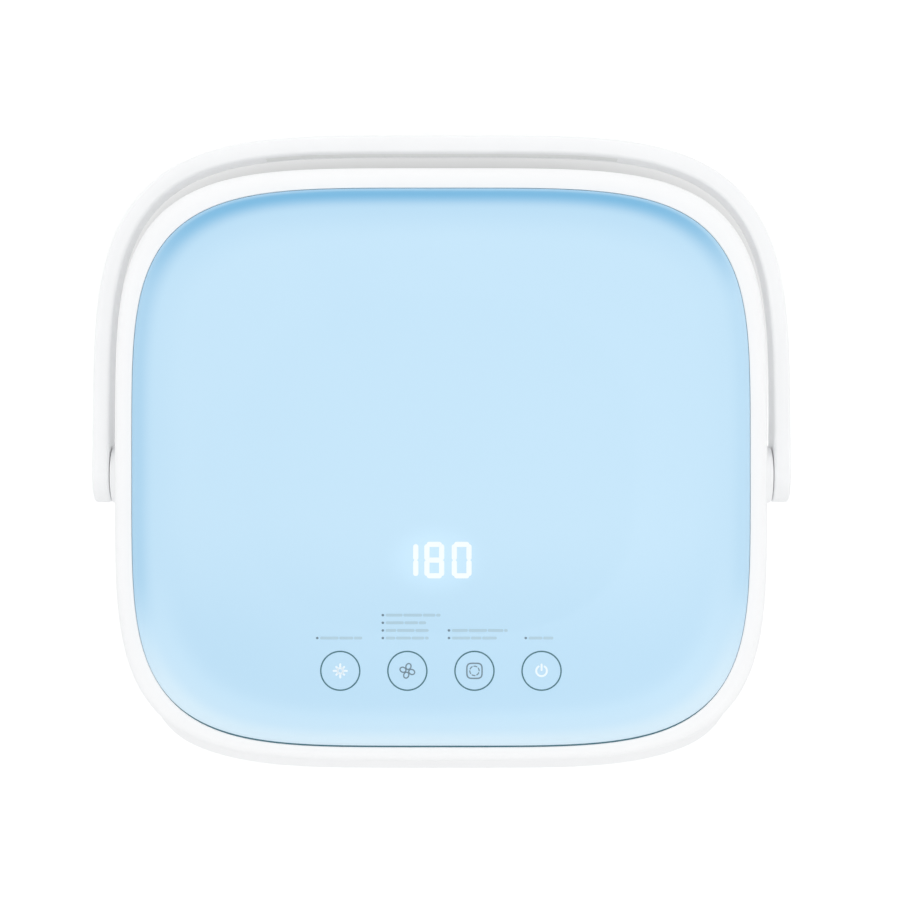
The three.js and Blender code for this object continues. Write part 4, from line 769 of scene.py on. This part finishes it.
def middle_of(low, high):
    """The middle of a box, seen from above."""
    return (low[:2] + high[:2]) / 2


def ports(nodes):
    """Upright cutters in the middle of some nodes, well past their faces."""
    return [rod(port_radius, -port_reach, port_reach, (*middle_of(low, high), low[2]))
            for low, high in map(corners_of, nodes)]


cut_out(lid_reflector, ports(windows))
print("gasket, liner and", len(windows), "ports")

# %% [markdown]
# ## The body
# The outer shell is one deep moulding: walls that narrow by four millimetres towards the bottom, as
# the mould needs, a generous rounded foot edge, and a ledge that the base plate closes. The
# rings are heights with an inset, as for the lid, but the rounded edge is a true quarter circle.

# %% Outer shell
foot_edge = 18 * mm
rebate = lid_tuck + body_draft + foot_edge + 2 * mm
ledge = rebate + 8 * mm
ledge_low, ledge_high = foot_height + in_mm(2.8, 5.3)


def body_inset(height):
    """The drafted wall's inset: the tuck at the top, and the whole draft more at the bottom."""
    return lid_tuck + body_draft * (shell_top - height) / (shell_top - foot_height)


def bend(wall, edge, floor, radius, start=0.0, count=14):
    """A quarter circle from a floor to a wall: height = floor + edge - r cos(a), and
    inset = wall + edge - r sin(a)."""
    turn = np.linspace(start, np.pi / 2, count)
    heights = floor + edge - radius * np.cos(turn)
    return [(wall(height) + edge - radius * math.sin(a), height, 0) for a, height in zip(turn, heights)]


inner_edge = foot_edge - shell_wall
ledge_turn = np.arccos((foot_height + foot_edge - ledge_high) / inner_edge)
outer_shell = moulding(
    "outer_shell_moulding",
    lid_outline.rows((rebate, ledge_low, 0), (rebate, foot_height, 0.3),
                     *bend(body_inset, foot_edge, foot_height, foot_edge),
                     (lid_tuck, shell_top, 0.8), (lid_tuck + shell_wall, shell_top, 0.4),
                     *bend(body_inset, foot_edge, foot_height, inner_edge, ledge_turn)[::-1],
                     (ledge, ledge_high, 0), (ledge, ledge_low, 0)),
    "cabinet", white_plastic, "outer_shell")
print(f"shell from {foot_height / mm:.0f} to {shell_top / mm:.1f} mm")

# %% [markdown]
# Warm air leaves through seven upright slots in the rear wall, and the socket for the charger's
# plug sits beside them. The handle's mounts need a hole in each side, and the hinges a hollow in
# the rear edge. Holes are cutters here: a slot in a curved wall is hard to draw as part of a
# grid, and exact Booleans do it cleanly, because the finished shape is known.

# %% Openings of the shell
jack_low, jack_high = corners_of("dc_jack")
jack_x, _, jack_z = (jack_low + jack_high) / 2
_, pivot_y, pivot_z = np.mean(corners_of("handle_mount_right"), axis=0)
rear_face = middle_y + lid_rear
slot_half, slot_low, slot_high, hollow_half = in_mm(1.5, 24, 48, 17.2)


def spread(count, pitch):
    """Evenly spaced places on both sides of zero."""
    return (np.arange(count) - (count - 1) / 2) * pitch


rear_slots = [slab((x - slot_half, rear_face - 20 * mm, slot_low),
                   (x + slot_half, rear_face + 2 * mm, slot_high), slot_half, "y")
              for x in spread(7, 8 * mm)]
jack_hole = rod(5.8 * mm, -10 * mm, 10 * mm, (jack_x, rear_face - 8 * mm, jack_z), "y")
spigot_holes = [rod(6.3 * mm, -6 * mm, 6 * mm, (side * (lid_half - 5 * mm), pivot_y, pivot_z), "x")
                for side in sides]
hollows = hinge_room([(side * hinge_x - hollow_half, side * hinge_x + hollow_half) for side in sides], 0)
cut_out(outer_shell, rear_slots + [jack_hole] + spigot_holes + hollows)
print("rear slots", len(rear_slots), "socket at x", round(jack_x / mm, 1),
      "pivot", np.round([pivot_y / mm, pivot_z / mm], 2))

# %% [markdown]
# The base plate closes the shell from below, with slots under the fan. Four countersunk screws with
# a cross recess hold it, and four rubber feet sit in shallow recesses, so that they can't slide off.

# %% Base plate, screws and feet
plate_top = foot_height + 2.5 * mm
base_plate = moulding("base_cover", lid_outline.rows((rebate + fit_gap, foot_height, 0),
                                                     (rebate + fit_gap, plate_top, 0)),
                      "cabinet", white_plastic, "base_plate", caps=(foot_height, plate_top))
foot_radius, foot_recess, screw_head, screw_recess, past = in_mm(10, 0.8, 3, 1.8, 2)
feet = {place: corners_of("foot_" + place)
        for place in ("rear_right", "rear_left", "front_left", "front_right")}
screws = [corners_of(f"base_screw_{number}") for number in (1, 2, 3, 4)]


def round_field(pitch, width, reach, low, high):
    """Cutters for seven slots side by side, whose ends lie on a circle round the box's middle."""
    halves = [(x, math.sqrt(reach ** 2 - x ** 2)) for x in spread(7, pitch)]
    return [slab((x - width / 2, middle_y - half, low), (x + width / 2, middle_y + half, high), width / 2)
            for x, half in halves]


cut_out(base_plate,
        round_field(9 * mm, 3.6 * mm, 34 * mm, foot_height - past, plate_top + past)
        + [rod(foot_radius + fit_gap, -past, foot_recess, (*middle_of(*foot), foot_height), sides=64)
           for foot in feet.values()]
        + [rod(screw_head + fit_gap, -past, screw_recess, (*middle_of(*screw), foot_height))
           for screw in screws])

foot_top = foot_height + foot_recess - fit_gap
for place, foot in feet.items():
    profile = [(0, 0), (0.82 * foot_radius, 0), (0.9 * foot_radius, 0.8 * mm),
               (foot_radius, foot_height - fit_gap), (foot_radius, foot_top), (0, foot_top)]
    rubber = turned(profile, (*middle_of(*foot), 0), sides=72, radii=in_mm(0, 0.5, 0.8, 0.5, 0.2, 0))
    dimple = turned(in_mm((0, -1), (4.5, -1), (4, 0.5), (0, 0.5)), (*middle_of(*foot), 0), sides=48)
    cut_out(piece("rubber_foot_" + place, [rubber], "cabinet", foot_rubber, "foot_" + place), [dimple])

for number, (low, high) in enumerate(screws, 1):
    x, y = middle_of(low, high)
    profile = in_mm((0, 0), (3, 0), (3, 1.2), (1.4, 1.6), (1.4, 7.5), (0, 8))
    screw = turned(profile, (x, y, low[2]), sides=48, radii=in_mm(0, 0.5, 0.2, 0.2, 0.3, 0))
    arms = [slab((x - a, y - b, low[2] - mm), (x + a, y + b, low[2] + 0.9 * mm), 0.3 * mm)
            for a, b in in_mm((1.7, 0.35), (0.35, 1.7))]
    cross_screw = piece(f"base_screw_{number}_cross", [screw], "cabinet", satin_steel,
                        f"base_screw_{number}")
    cut_out(cross_screw, arms, crossing=True)
print("base plate with", len(feet), "feet and", len(screws), "screws of",
      len(cross_screw.data.polygons), "faces")

# %% [markdown]
# The collar is the ring that joins the shell and the chamber. Its outer edge shows as the thin line
# under the lid, it carries the body half of the hinges, and steel strikes lie in it for the magnets.

# %% Collar, hinge ears and pins
spigot_low, collar_under = collar_top - in_mm(10.6, 2.6)
spigot_inset = body_inset(spigot_low) + shell_wall + fit_gap
collar_width, nut_room = in_mm(17.2, 14)
top_collar = moulding(
    "top_collar_moulding",
    lid_outline.rows((spigot_inset, spigot_low, 0.3), (spigot_inset, collar_under, 0.2),
                     (lid_tuck, collar_under, 0.3), (lid_tuck, collar_top, 0.8),
                     (lid_tuck + collar_width, collar_top, 0.5),
                     (lid_tuck + collar_width, collar_under, 0.3),
                     (spigot_inset + 2 * mm, collar_under, 0.2),
                     (spigot_inset + 2 * mm, spigot_low, 0.3)),
    "cabinet", white_plastic, "top_collar")
strikes = [corners_of("strike_plate_left"), corners_of("strike_plate_right")]
strike_cuts = [slab(low - fit_gap, high + fit_gap + [0, 0, mm], 0.8 * mm) for low, high in strikes]
nut_rooms = [rod(10.3 * mm, -nut_room, nut_room,
                 (side * (lid_half - spigot_inset - nut_room), pivot_y, pivot_z), "x") for side in sides]
cut_out(top_collar, strike_cuts + hinge_room(lid_knuckles) + nut_rooms)
piece("body_hinge_ears", sum([knuckle(*span, -1) for span in ears], []), "cabinet", white_plastic,
      crease=30)
pin_half = (pin_high[0] - pin_low[0]) / 2
named_sides = {"left": -1, "right": 1}
for place, side in named_sides.items():
    pin = rod(pin_radius, -pin_half, pin_half, (side * hinge_x, hinge_y, hinge_z), "x", 40, 0.3 * mm)
    piece("hinge_pin_steel_" + place, [pin], "cabinet", satin_steel, "hinge_pin_" + place)
print("collar,", len(ears), "ears and two pins")

# %% [markdown]
# ## The chamber and its rack
# The chamber is drawn from one steel sheet: a flat floor, a ten millimetre bend, steep walls and a
# narrow flange. The sheet is only 0.8 mm thick, so the inside and the outside bend are two
# arcs about the same centre. Openings let the air up through the grille and back through slots.

# %% Chamber, grille and windows
tank_inset, tank_sheet, tank_draft, tank_bend = in_mm(17.5, 0.8, 2, 10) + [lid_tuck, 0, 0, 0]
flange_width, cut_reach = in_mm(6, 5)
floor_top = corners_of("floor_uv_window_left")[1][2] + fit_gap + tank_sheet
flange_top = corners_of("chamber_tank")[1][2]


def tank_bends(radius):
    """Nine rings of the bend between floor and wall."""
    return bend(lambda height: tank_inset + tank_draft, tank_bend, floor_top, radius, count=9)


chamber = moulding(
    "chamber_steel",
    lid_outline.rows(*tank_bends(tank_bend + tank_sheet),
                     (tank_inset - tank_sheet, flange_top - tank_sheet, 0.7),
                     (tank_inset - flange_width, flange_top - tank_sheet, 0.25),
                     (tank_inset - flange_width, flange_top, 0.25), (tank_inset, flange_top, 1.5),
                     *tank_bends(tank_bend)[::-1]),
    "cabinet", mirror_steel, "chamber_tank", caps=(floor_top - tank_sheet, floor_top))
return_half_x, return_half_y, return_y = in_mm(9, 1.75, 62)
return_slots = [slab((x - return_half_x, y - return_half_y, floor_top - cut_reach),
                     (x + return_half_x, y + return_half_y, floor_top + cut_reach), return_half_y)
                for y in (middle_y - return_y, middle_y + return_y) for x in spread(3, 24 * mm)]
grille_hole = rod(38 * mm, -cut_reach, cut_reach, (0, middle_y, floor_top), sides=96)
cut_out(chamber, ports(["floor_uv_window_left", "floor_uv_window_right"]) + [grille_hole] + return_slots)

flange_low = floor_top + fit_gap
grille_profile = in_mm((0, 0), (35.7, 0), (35.7, -3.3), (37.7, -3.3), (37.7, 0), (42, 0), (41, 2), (0, 2))
grille = piece("air_outlet_grille",
               [turned(grille_profile, (0, middle_y, flange_low), sides=96,
                       radii=in_mm(0, 0.2, 0.3, 0.3, 0.2, 0.3, 0.8, 0))],
               "cabinet", satin_steel, "air_grille")
cut_out(grille, round_field(9 * mm, 4 * mm, 31.7 * mm, flange_low - 2 * mm, flange_low + 4 * mm))
print(f"chamber floor at {floor_top / mm:.1f} mm, {len(return_slots)} slots for the returning air")

# %% [markdown]
# The rack is bent from steel wire and spot welded: a rim, nine bars across it, two supports under
# the bars and four legs. A wire is a circle carried along its path, with slightly domed cut ends.

# %% Bottle rack
rim_wire, bar_wire, leg_wire, leg_inset = in_mm(1.5, 1.2, 1.8, 18)
rim_height, bar_height = floor_top + in_mm(10, 10.4)
leg_height = rim_height - bar_wire
rack_inset = tank_inset + tank_draft + 2.5 * mm + rim_wire
span_x, span_rear, span_front = np.array([lid_half, lid_rear, lid_front]) - rack_inset
bar_count = 9


def wire(start, end, radius, axis):
    """A straight wire between two places along an axis, its ends domed a little."""
    start, end = np.asarray(start, float), np.asarray(end, float)
    half = np.linalg.norm(end - start) / 2
    return rod(radius, -half, half, (start + end) / 2, axis, 20, 0.6 * radius)


def share_left(offset, reach):
    """What an outline still spans at an offset: (1 - |offset / reach|^n)^(1/n)."""
    return (1 - (abs(offset) / reach) ** exponent) ** (1 / exponent)


rim_turns = np.linspace(0, 2 * np.pi, 16, endpoint=False)
wires = [surface(np.stack([
    lid_outline.ring(rack_inset + rim_wire * math.cos(a), rim_height + rim_wire * math.sin(a))
    for a in rim_turns]), loop=True)]
for x in spread(bar_count, 2 * span_x / (bar_count + 1)):
    share = share_left(x, span_x)
    wires.append(wire((x, middle_y - span_front * share, bar_height),
                      (x, middle_y + span_rear * share, bar_height), bar_wire, "y"))
legs = Outline(lid_half, lid_rear, lid_front, (np.arange(4) + 0.5) * np.pi / 2)
for x, y, _ in legs.ring(rack_inset - rim_wire + leg_inset, 0):
    wires.append(wire((x, y, floor_top + fit_gap), (x, y, leg_height), leg_wire, "z"))
    if x > 0:
        across = span_x * share_left(y - middle_y, span_rear if y > middle_y else span_front)
        wires.append(wire((-across, y, leg_height), (across, y, leg_height), rim_wire, "x"))
piece("bottle_rack_wire", wires, "rack", satin_steel, "bottle_rack", crease=50)
print(len(wires), "wires")

# %% [markdown]
# ## The carrying handle
# The bail is one half of the same kind of superellipse, so it follows the lid's rear at an even
# distance. Its section is a rounded bar that is carried along that path. It grows a little from the
# arms to the grip, and swells to the boss at each pivot. A curve object with a bevel would give one
# section only; a loft lets thickness and height change along the way.

# %% Bail
bail_high = corners_of("handle_bail")[1]
grip_half = corners_of("handle_grip")[1][0]
grip_thick, arm_high, grip_high, boss_radius, cap_radius = in_mm(7.4, 18, 20, 11.5, 8)
handle_inner = lid_half + 7 * mm
arm_thick = bail_high[0] - handle_inner
handle_reach = bail_high[1] - pivot_y - grip_thick
end_gap, groove_spare = 0.002, 0.0003
handle_turns = even_turns(handle_inner, handle_reach, handle_reach, 720)
rear_turns = handle_turns[(handle_turns > end_gap) & (handle_turns < np.pi - end_gap)]
handle_turns = np.concatenate([[0], rear_turns, [np.pi]])


def band(turns, near, far, height, rounding):
    """A rounded bar on the handle's path, as rings of its section with a pole at each end.

    A section point lies at path + depth * normal + lift * z. Depth and lift run round a rectangle
    with round corners, from near to far and over the height."""
    path = Outline(handle_inner, handle_reach, handle_reach, turns, pivot_y)
    near, far, height = (np.broadcast_to(value, turns.shape)[:, None] for value in (near, far, height))
    depth, lift = round_corners((far - near) / 2, height / 2, rounding, rounding)
    depth = depth + (near + far) / 2
    grid = np.stack([path.ring(-out, pivot_z + up) for out, up in zip(depth.T, lift.T)], axis=1)
    return surface(grid, poles=grid[[0, -1]].mean(axis=1))


along = np.abs(superellipse(handle_turns, 1, 1, 1)[1])
arch = smooth(along ** exponent)
thickness = arm_thick + (grip_thick - arm_thick) * arch
plain_height = arm_high + (grip_high - arm_high) * arch
boss_height = 2 * boss_radius - 0.6 * mm
bail_height = plain_height + (boss_height - plain_height) * smooth(1 - 3 * along)
pivots = [(side * (handle_inner + arm_thick / 2), pivot_y, pivot_z) for side in sides]
bosses = [rod(boss_radius, -arm_thick / 2, arm_thick / 2, pivot, "x", 96, 1.2 * mm) for pivot in pivots]
handle_bail = piece("carrying_handle", [band(handle_turns, 0, thickness, bail_height, 1.5 * mm)] + bosses,
                    "handle", white_plastic, "handle_bail", crease=50)

grip_turns = handle_turns[np.abs(superellipse(handle_turns, handle_inner, 1, 1)[0]) < grip_half]
groove_turns = [grip_turns[0] - groove_spare, *grip_turns, grip_turns[-1] + groove_spare]
groove = band(np.array(groove_turns), -2 * mm, 1.85 * mm, 12.16 * mm, 0.6 * mm)
eyes = []
for side, pivot in zip(sides, pivots):
    eyes.append(rod(5.3 * mm, -6 * mm, 6 * mm, pivot, "x", 64))
    eyes.append(rod(cap_radius + fit_gap, *sorted([side * 0.6 * mm, side * 6 * mm]), pivot, "x", 64))
cut_out(handle_bail, [groove] + eyes, crease=50, crossing=True)
print("handle:", len(handle_turns), "stations,", len(handle_bail.data.polygons), "faces")

# %% [markdown]
# A soft strip is pressed into the inner face of the grip, where the fingers lie when the box is
# carried. Fine ribs across it keep a wet hand from sliding. At each side a cone shaped mount
# carries the handle's eye, and a cap closes it from outside.

# %% Grip strip, mounts and caps
rib_height, rib_pitch, smooth_end, fade = in_mm(0.12, 3, 6, 4)
grip_x = superellipse(grip_turns, handle_inner, 1, 1)[0]
ribs = (rib_height * np.cos(2 * np.pi * grip_x / rib_pitch)
        * smooth((grip_half - smooth_end - np.abs(grip_x)) / fade))
piece("grip_strip", [band(grip_turns, 0.15 * mm - ribs, 1.75 * mm, 12 * mm, 0.5 * mm)],
      "handle", grip_soft, "handle_grip", crease=50)

wall_x = lid_half - body_inset(pivot_z)
face_x = handle_inner + arm_thick - fit_gap
inner_x, journal_x = handle_inner - fit_gap, handle_inner + arm_thick - 2.9 * mm
side_pieces = [
    ("handle_pivot_mount_", "handle_mount_", 96, in_mm(0, 6, 6, 14, 14, 11.5, 5, 5, 0),
     [*(wall_x + in_mm(-9, -9, -1, -1, 2.5)), inner_x, inner_x, journal_x, journal_x],
     in_mm(0, 0.5, 0.2, 0.2, 1.5, 0.6, 0.3, 0.4, 0)),
    ("handle_pivot_cap_", "pivot_cap_", 80, in_mm(0, 2, 2, 8, 8, 6.8, 6.2, 0),
     face_x + in_mm(-8, -8, -2, -2, 0, 0, -0.3, -0.1), in_mm(0, 0.3, 0.2, 0.3, 0.5, 0.3, 0.5, 0))]
for place, side in named_sides.items():
    for name, node_name, steps, radii, places, soft in side_pieces:
        profile = np.stack([radii, side * np.asarray(places)], axis=-1)
        part = turned(profile, (0, pivot_y, pivot_z), "x", steps, soft)
        piece(name + place, [part], "cabinet", white_plastic, node_name + place)
print("grip strip of", round(2 * grip_half / mm, 1), "mm, two mounts, two caps")

# %% [markdown]
# The charger's plug goes into a round inlet in the rear wall. It is one turned shape with the bore
# and the flange, held by a nut inside, with the contact pin standing in the middle of the bore.

# %% Socket
jack_place = (jack_x, jack_high[1], jack_z)
socket = turned(in_mm((0, -9), (3, -9), (3, 0), (8, 0), (8, -1.5), (5.5, -1.5), (5.5, -17.5), (0, -17.5)),
                jack_place, "y", 64, in_mm(0, 0.2, 0.5, 0.5, 0, 0.1, 0.5, 0))
contact = turned(in_mm((0, -9.5), (1, -9.5), (1, -1.6), (0, -1.6)), jack_place, "y", 24,
                 in_mm(0, 0, 0.6, 0))
nut = turned(in_mm((5.6, -9.2), (8, -9.2), (8, -6.2), (5.6, -6.2)), jack_place, "y", 6,
             in_mm(0.2, 0.4, 0.4, 0.2))
piece("power_inlet", [socket, nut], "cabinet", black_plastic, "dc_jack")
piece("power_inlet_pin", [contact], "cabinet", satin_steel)
print("power inlet at", np.round(np.array(jack_place) / mm, 1), "mm")

# %% [markdown]
# ## What is printed and lit on the panel
# All marks lie on the dome as ink or lit windows a few hundredths of a millimetre thick. Every mark
# here is a stroke: a path with a width and round ends, which follows the height of the dome. The
# words over the keys stay unreadable marks, because this copy carries nobody's text.

# %% Strokes on the dome
ink_half, end_points = 0.03 * mm, 6
key_places = spread(4, 26.5 * mm)
key_row = middle_y - panel_reach + 30.5 * mm
ring_radius, ring_line = in_mm(7.7, 0.55)


def stroke(path, width, closed=False):
    """A flat stroke on the dome, as a closed thin solid.

    Each path point gets two edge points at half a width along the path's normal, on a lower and
    an upper face. An open path gets half circles at its ends: centre -+ r cos a along, r sin a
    across."""
    path = np.asarray(path, float)
    half = np.full(len(path), width / 2)
    ahead = np.roll(path, -1, axis=0) - np.roll(path, 1, axis=0) if closed else np.gradient(path, axis=0)
    ahead /= np.linalg.norm(ahead, axis=1, keepdims=True)
    if not closed:
        a = np.linspace(0.25, np.pi / 2, end_points)
        start = path[0] - np.outer(np.cos(a), ahead[0]) * width / 2
        end = path[-1] + np.outer(np.cos(a), ahead[-1]) * width / 2
        path = np.vstack([start, path[1:-1], end[::-1]])
        half = np.concatenate([np.sin(a), np.ones(len(half) - 2), np.sin(a)[::-1]]) * width / 2
        ahead = np.vstack([np.tile(ahead[0], (end_points, 1)), ahead[1:-1],
                           np.tile(ahead[-1], (end_points, 1))])
    across = np.stack([-ahead[:, 1], ahead[:, 0]], axis=-1) * half[:, None]
    corners = np.stack([path + across, path - across, path - across, path + across], axis=1)
    height = dome_height(share_at(corners[..., 0], corners[..., 1]))
    height += np.array([1, 1, -1, -1]) * ink_half
    grid = np.concatenate([corners, height[..., None]], axis=-1)
    return surface(grid, loop=closed, poles=() if closed else grid[[0, -1]].mean(axis=1))


def arc(centre, radius, start=0.0, end=360.0, count=64, closed=True):
    """Points of a circle, or of a part of it, between two angles in degrees."""
    angle = np.radians(np.linspace(start, end, count, endpoint=not closed))
    return np.asarray(centre) + radius * np.stack([np.cos(angle), np.sin(angle)], axis=-1)


def bar(start, end, width):
    """A straight stroke between two places."""
    return stroke(np.linspace(start, end, 8), width)


keys = [np.array([x, key_row]) for x in key_places]
key_rings = [stroke(arc(key, ring_radius, count=120), ring_line, closed=True) for key in keys]
piece("touch_key_rings", key_rings, "lid", teal_print_and_seam_shade)
print("key row at y =", round(key_row / mm, 1), "mm, keys at x =", np.round(key_places / mm, 1))

# %% [markdown]
# Each key has its sign: a star for the lamps, a fan wheel for drying, a rounded square with a
# turning ring for storing, and the usual sign for on and off. The first and the last are lit.

# %% Signs on the keys
sun_key, fan_key, store_key, power_key = keys
ray_start, long_ray, short_ray, lit_width = in_mm(1.2, 2.6, 2.2, 0.8)
lit_signs = []
for index, ray in enumerate(arc((0, 0), 1, count=8)):
    reach = long_ray if index % 2 == 0 else short_ray
    lit_signs.append(bar(sun_key + ray_start * ray, sun_key + reach * ray, lit_width))
lit_signs += [stroke(arc(sun_key, 1.1 * mm), 0.85 * mm, closed=True),
              stroke(arc(power_key, 2.1 * mm, 125, 415, closed=False), lit_width),
              bar(power_key + in_mm(0, 0.3), power_key + in_mm(0, 2.5), lit_width)]
piece("lit_key_signs", lit_signs, "lid", dim_white)

printed_signs = []
petal = arc((0, 0), 1, count=40) * in_mm(1.2, 0.98) + in_mm(1.75, 0.3)
for angle in np.radians([66, 156, 246, 336]):
    spin = np.array([[math.cos(angle), math.sin(angle)], [-math.sin(angle), math.cos(angle)]])
    printed_signs.append(stroke(fan_key + petal @ spin, 0.5 * mm, closed=True))
circle = arc((0, 0), 1, count=72)
round_square = 3.0 * mm * circle / ((np.abs(circle) ** 4).sum(axis=1) ** 0.25)[:, None]
printed_signs.append(stroke(store_key + round_square, 0.55 * mm, closed=True))
printed_signs += [stroke(arc(store_key, 1.85 * mm, start, start + 36, 12, closed=False), 0.45 * mm)
                  for start in np.arange(6) * 60]
piece("printed_key_signs", printed_signs, "lid", grey_print)
print(len(lit_signs), "lit strokes,", len(printed_signs), "printed strokes")

# %% [markdown]
# Over each key stand one to four short lines, each with a point in front. Their lengths differ as
# words do, but they are only bars, broken into a few pieces.

# %% Marks over the keys
first_line, line_pitch, point_gap, word_gap = in_mm(13, 3.02, 1.7, 1.3)
mark_lengths = [[15.6], [15.9, 15.9, 14.9, 20.6], [16.7, 21.0], [8.7]]
mark_starts = in_mm(9.1, 9.7, 10.1, 6.3)
marks, points = [], []
rng = np.random.default_rng(4)
for key, start, lengths in zip(keys, mark_starts, mark_lengths):
    for row, length in enumerate(lengths):
        x, y = key + [-start, first_line + row * line_pitch]
        points.append(bar((x, y), (x + 0.1 * mm, y), 0.95 * mm))
        x += point_gap
        end = x + length * mm
        while x < end:
            word = min(rng.uniform(2.4, 6.5) * mm, end - x)
            marks.append(bar((x, y), (x + word, y), 1.1 * mm))
            x += word + word_gap
piece("marks_over_keys", marks, "lid", pale_print)
piece("points_before_marks", points, "lid", grey_print)
print(len(marks), "marks,", len(points), "points")

# %% [markdown]
# The display shows three digits through the panel. Each is made of the seven bars that such a
# display has, and the bars' round ends melt into each other as they do behind a blue plate.

# %% Digits
digit_half, bar_width = in_mm(2.9, 6.2), 2.05 * mm
bars = {
    "top": ((-1, 1), (1, 1)), "middle": ((-1, 0), (1, 0)), "bottom": ((-1, -1), (1, -1)),
    "upper_left": ((-1, 0), (-1, 1)), "lower_left": ((-1, -1), (-1, 0)),
    "upper_right": ((1, 0), (1, 1)), "lower_right": ((1, -1), (1, 0))}
lit_bars = [["upper_right", "lower_right"], list(bars), [name for name in bars if name != "middle"]]
digit_strokes = []
for place, names in zip(in_mm(-10.2, 0, 10.8), lit_bars):
    centre = np.array([place, middle_y]) + digit_middle
    for name in names:
        start, end = centre + np.array(bars[name]) * digit_half
        inwards = (end - start) / np.linalg.norm(end - start) * 0.45 * bar_width
        digit_strokes.append(bar(start + inwards, end - inwards, bar_width))
piece("display_digits", digit_strokes, "lid", lit_white)
print(len(digit_strokes), "lit bars")

# %% [markdown]
# ## Pieces that stay as CAD made them
# Boards, magnets, springs, the fan and the heater have their real shape in CAD already, and are
# seen through slots or with the lid open. They keep their solids and get a finish.

# %% Finishes of the CAD pieces
finish_of = dict(
    white_plastic=inner_white, blue_panel=blue_panel, seal_silicone=seal_silicone, quartz=quartz,
    mirror_steel=mirror_steel, plain_steel=satin_steel, magnet_nickel=magnet_nickel,
    heater_aluminium=heater_aluminium, foot_rubber=foot_rubber, grip_soft=grip_soft,
    black_plastic=black_plastic, green_board=green_board, white_board=white_board)
slots = [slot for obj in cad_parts.values() for slot in obj.material_slots]
for slot in slots:
    slot_name = slot.material.name.split(".")[0] if slot.material else "white_plastic"
    slot.material = finish_of.get(slot_name, inner_white)
print("slots used:", sorted({slot.material.name for slot in slots}))

# %% [markdown]
# ## Table, backdrop and light
# The photograph is a product picture on pure white, with a soft dark edge only where the box hides
# the light from the table. The floor is a wide matt plane that takes the box's shadow. For the
# camera it also shines, a little near the box and fully far out, where few lamps reach. So the
# open floor is white, and the shadow at the foot stays as soft and deep as the lamps make it.
# Behind the box, where the photo is darkest, a painted shadow turns the floor's own colour a softly
# darker grey and fades its shine for the camera. Its width follows the box: the squares of a point's
# two coordinates, measured in box sizes, have a length that stays the same along an outline with round
# corners.

# %% Floor
# the grey is the colour of a painted shadow behind the box
floor_reach, floor_white, painted_shadow_grey = 6.0, (0.96, 0.965, 0.97), (0.46, 0.465, 0.46)
corners = [(floor_reach * x, floor_reach * y, 0) for x, y in ((-1, -1), (1, -1), (1, 1), (-1, 1))]
floor_mesh = bpy.data.meshes.new("studio_floor")
floor_mesh.from_pydata(corners, [], [(0, 1, 2, 3)])
floor = new_object("studio_floor", floor_mesh)
floor_finish, tree, shader = finish_named("studio_floor_white_with_painted_shadow", floor_white, 0.8)
middle_out = worked_out(tree, "ADD", place_on(tree), (0, -middle_y, 0))
shine = ranged(tree, worked_out(tree, "LENGTH", middle_out), (0.22, 0.9), (0.16, 1.0))
# painted shadow: behind the box the floor's colour turns grey and its camera shine fades
in_sizes = worked_out(tree, "MULTIPLY", middle_out, (1 / lid_half, 1 / lid_rear, 0))
squares = worked_out(tree, "MULTIPLY", in_sizes, in_sizes)
clear = ranged(tree, worked_out(tree, "LENGTH", squares), (1.2, 1.95))
behind = ranged(tree, node(tree, "SeparateXYZ", {0: in_sizes}).outputs[1], (-0.2, 1.1))
near = worked_out(tree, "SUBTRACT", 1.0, clear, kind="Math")
painted_shadow = worked_out(tree, "MULTIPLY", near, behind, kind="Math")
feed(shader, {"Base Color": blended(tree, painted_shadow, floor_white, painted_shadow_grey)})
shine = ranged(tree, painted_shadow, (0, 1), (shine, 0.0), "LINEAR")
glow = node(tree, "Emission", {"Strength": shine})
lit_floor = node(tree, "AddShader", {0: shader.outputs[0], 1: glow.outputs[0]})
by_camera = node(tree, "LightPath").outputs["Is Camera Ray"]
seen = node(tree, "MixShader", {0: by_camera, 1: shader.outputs[0], 2: lit_floor.outputs[0]})
feed(tree.nodes["Material Output"], {"Surface": seen.outputs[0]})
floor_mesh.materials.append(floor_finish)
print("floor", 2 * floor_reach, "m wide")

# %% [markdown]
# The air round the table shines all round, stronger at the horizon than overhead, as a white
# room does. That lights the upright walls as well as the lid. For the camera the air is plain
# white, like the floor. A large box over the front edge and one behind do the rest.

# %% Air and lamps
scene.world = bpy.data.worlds.new("studio_air")
scene.world.use_nodes = True
tree = scene.world.node_tree
height = node(tree, "SeparateXYZ", {0: node(tree, "TexCoord").outputs["Generated"]}).outputs[2]
strength = ranged(tree, height, (0, 1), (1.08, 0.66), "LINEAR")
by_camera = node(tree, "LightPath").outputs["Is Camera Ray"]
strength = node(tree, "Mix", {0: by_camera, 2: strength, 3: 1.0}).outputs[0]
feed(tree.nodes["Background"], {"Strength": strength, "Color": (1, 1, 1, 1)})


def soft_box(name, place, size, power):
    """A square lamp turned to the rim. Only what it lights shows it, no mirror does."""
    data = bpy.data.lights.new(name, "AREA")
    data.size, data.energy = size, power
    lamp = new_object(name, data)
    lamp.location = place
    towards = Vector((0, middle_y, rim_land)) - Vector(place)
    lamp.rotation_euler = towards.to_track_quat("-Z", "Y").to_euler()
    lamp.visible_camera = lamp.visible_glossy = False


soft_box("main_soft_box", (0.2, -0.35, 2.4), 0.8, 7.5)
soft_box("rear_soft_box", (-0.1, 1.1, 2.1), 1.2, 6)
scene.view_settings.view_transform = "Standard"
print("two soft boxes and the air")
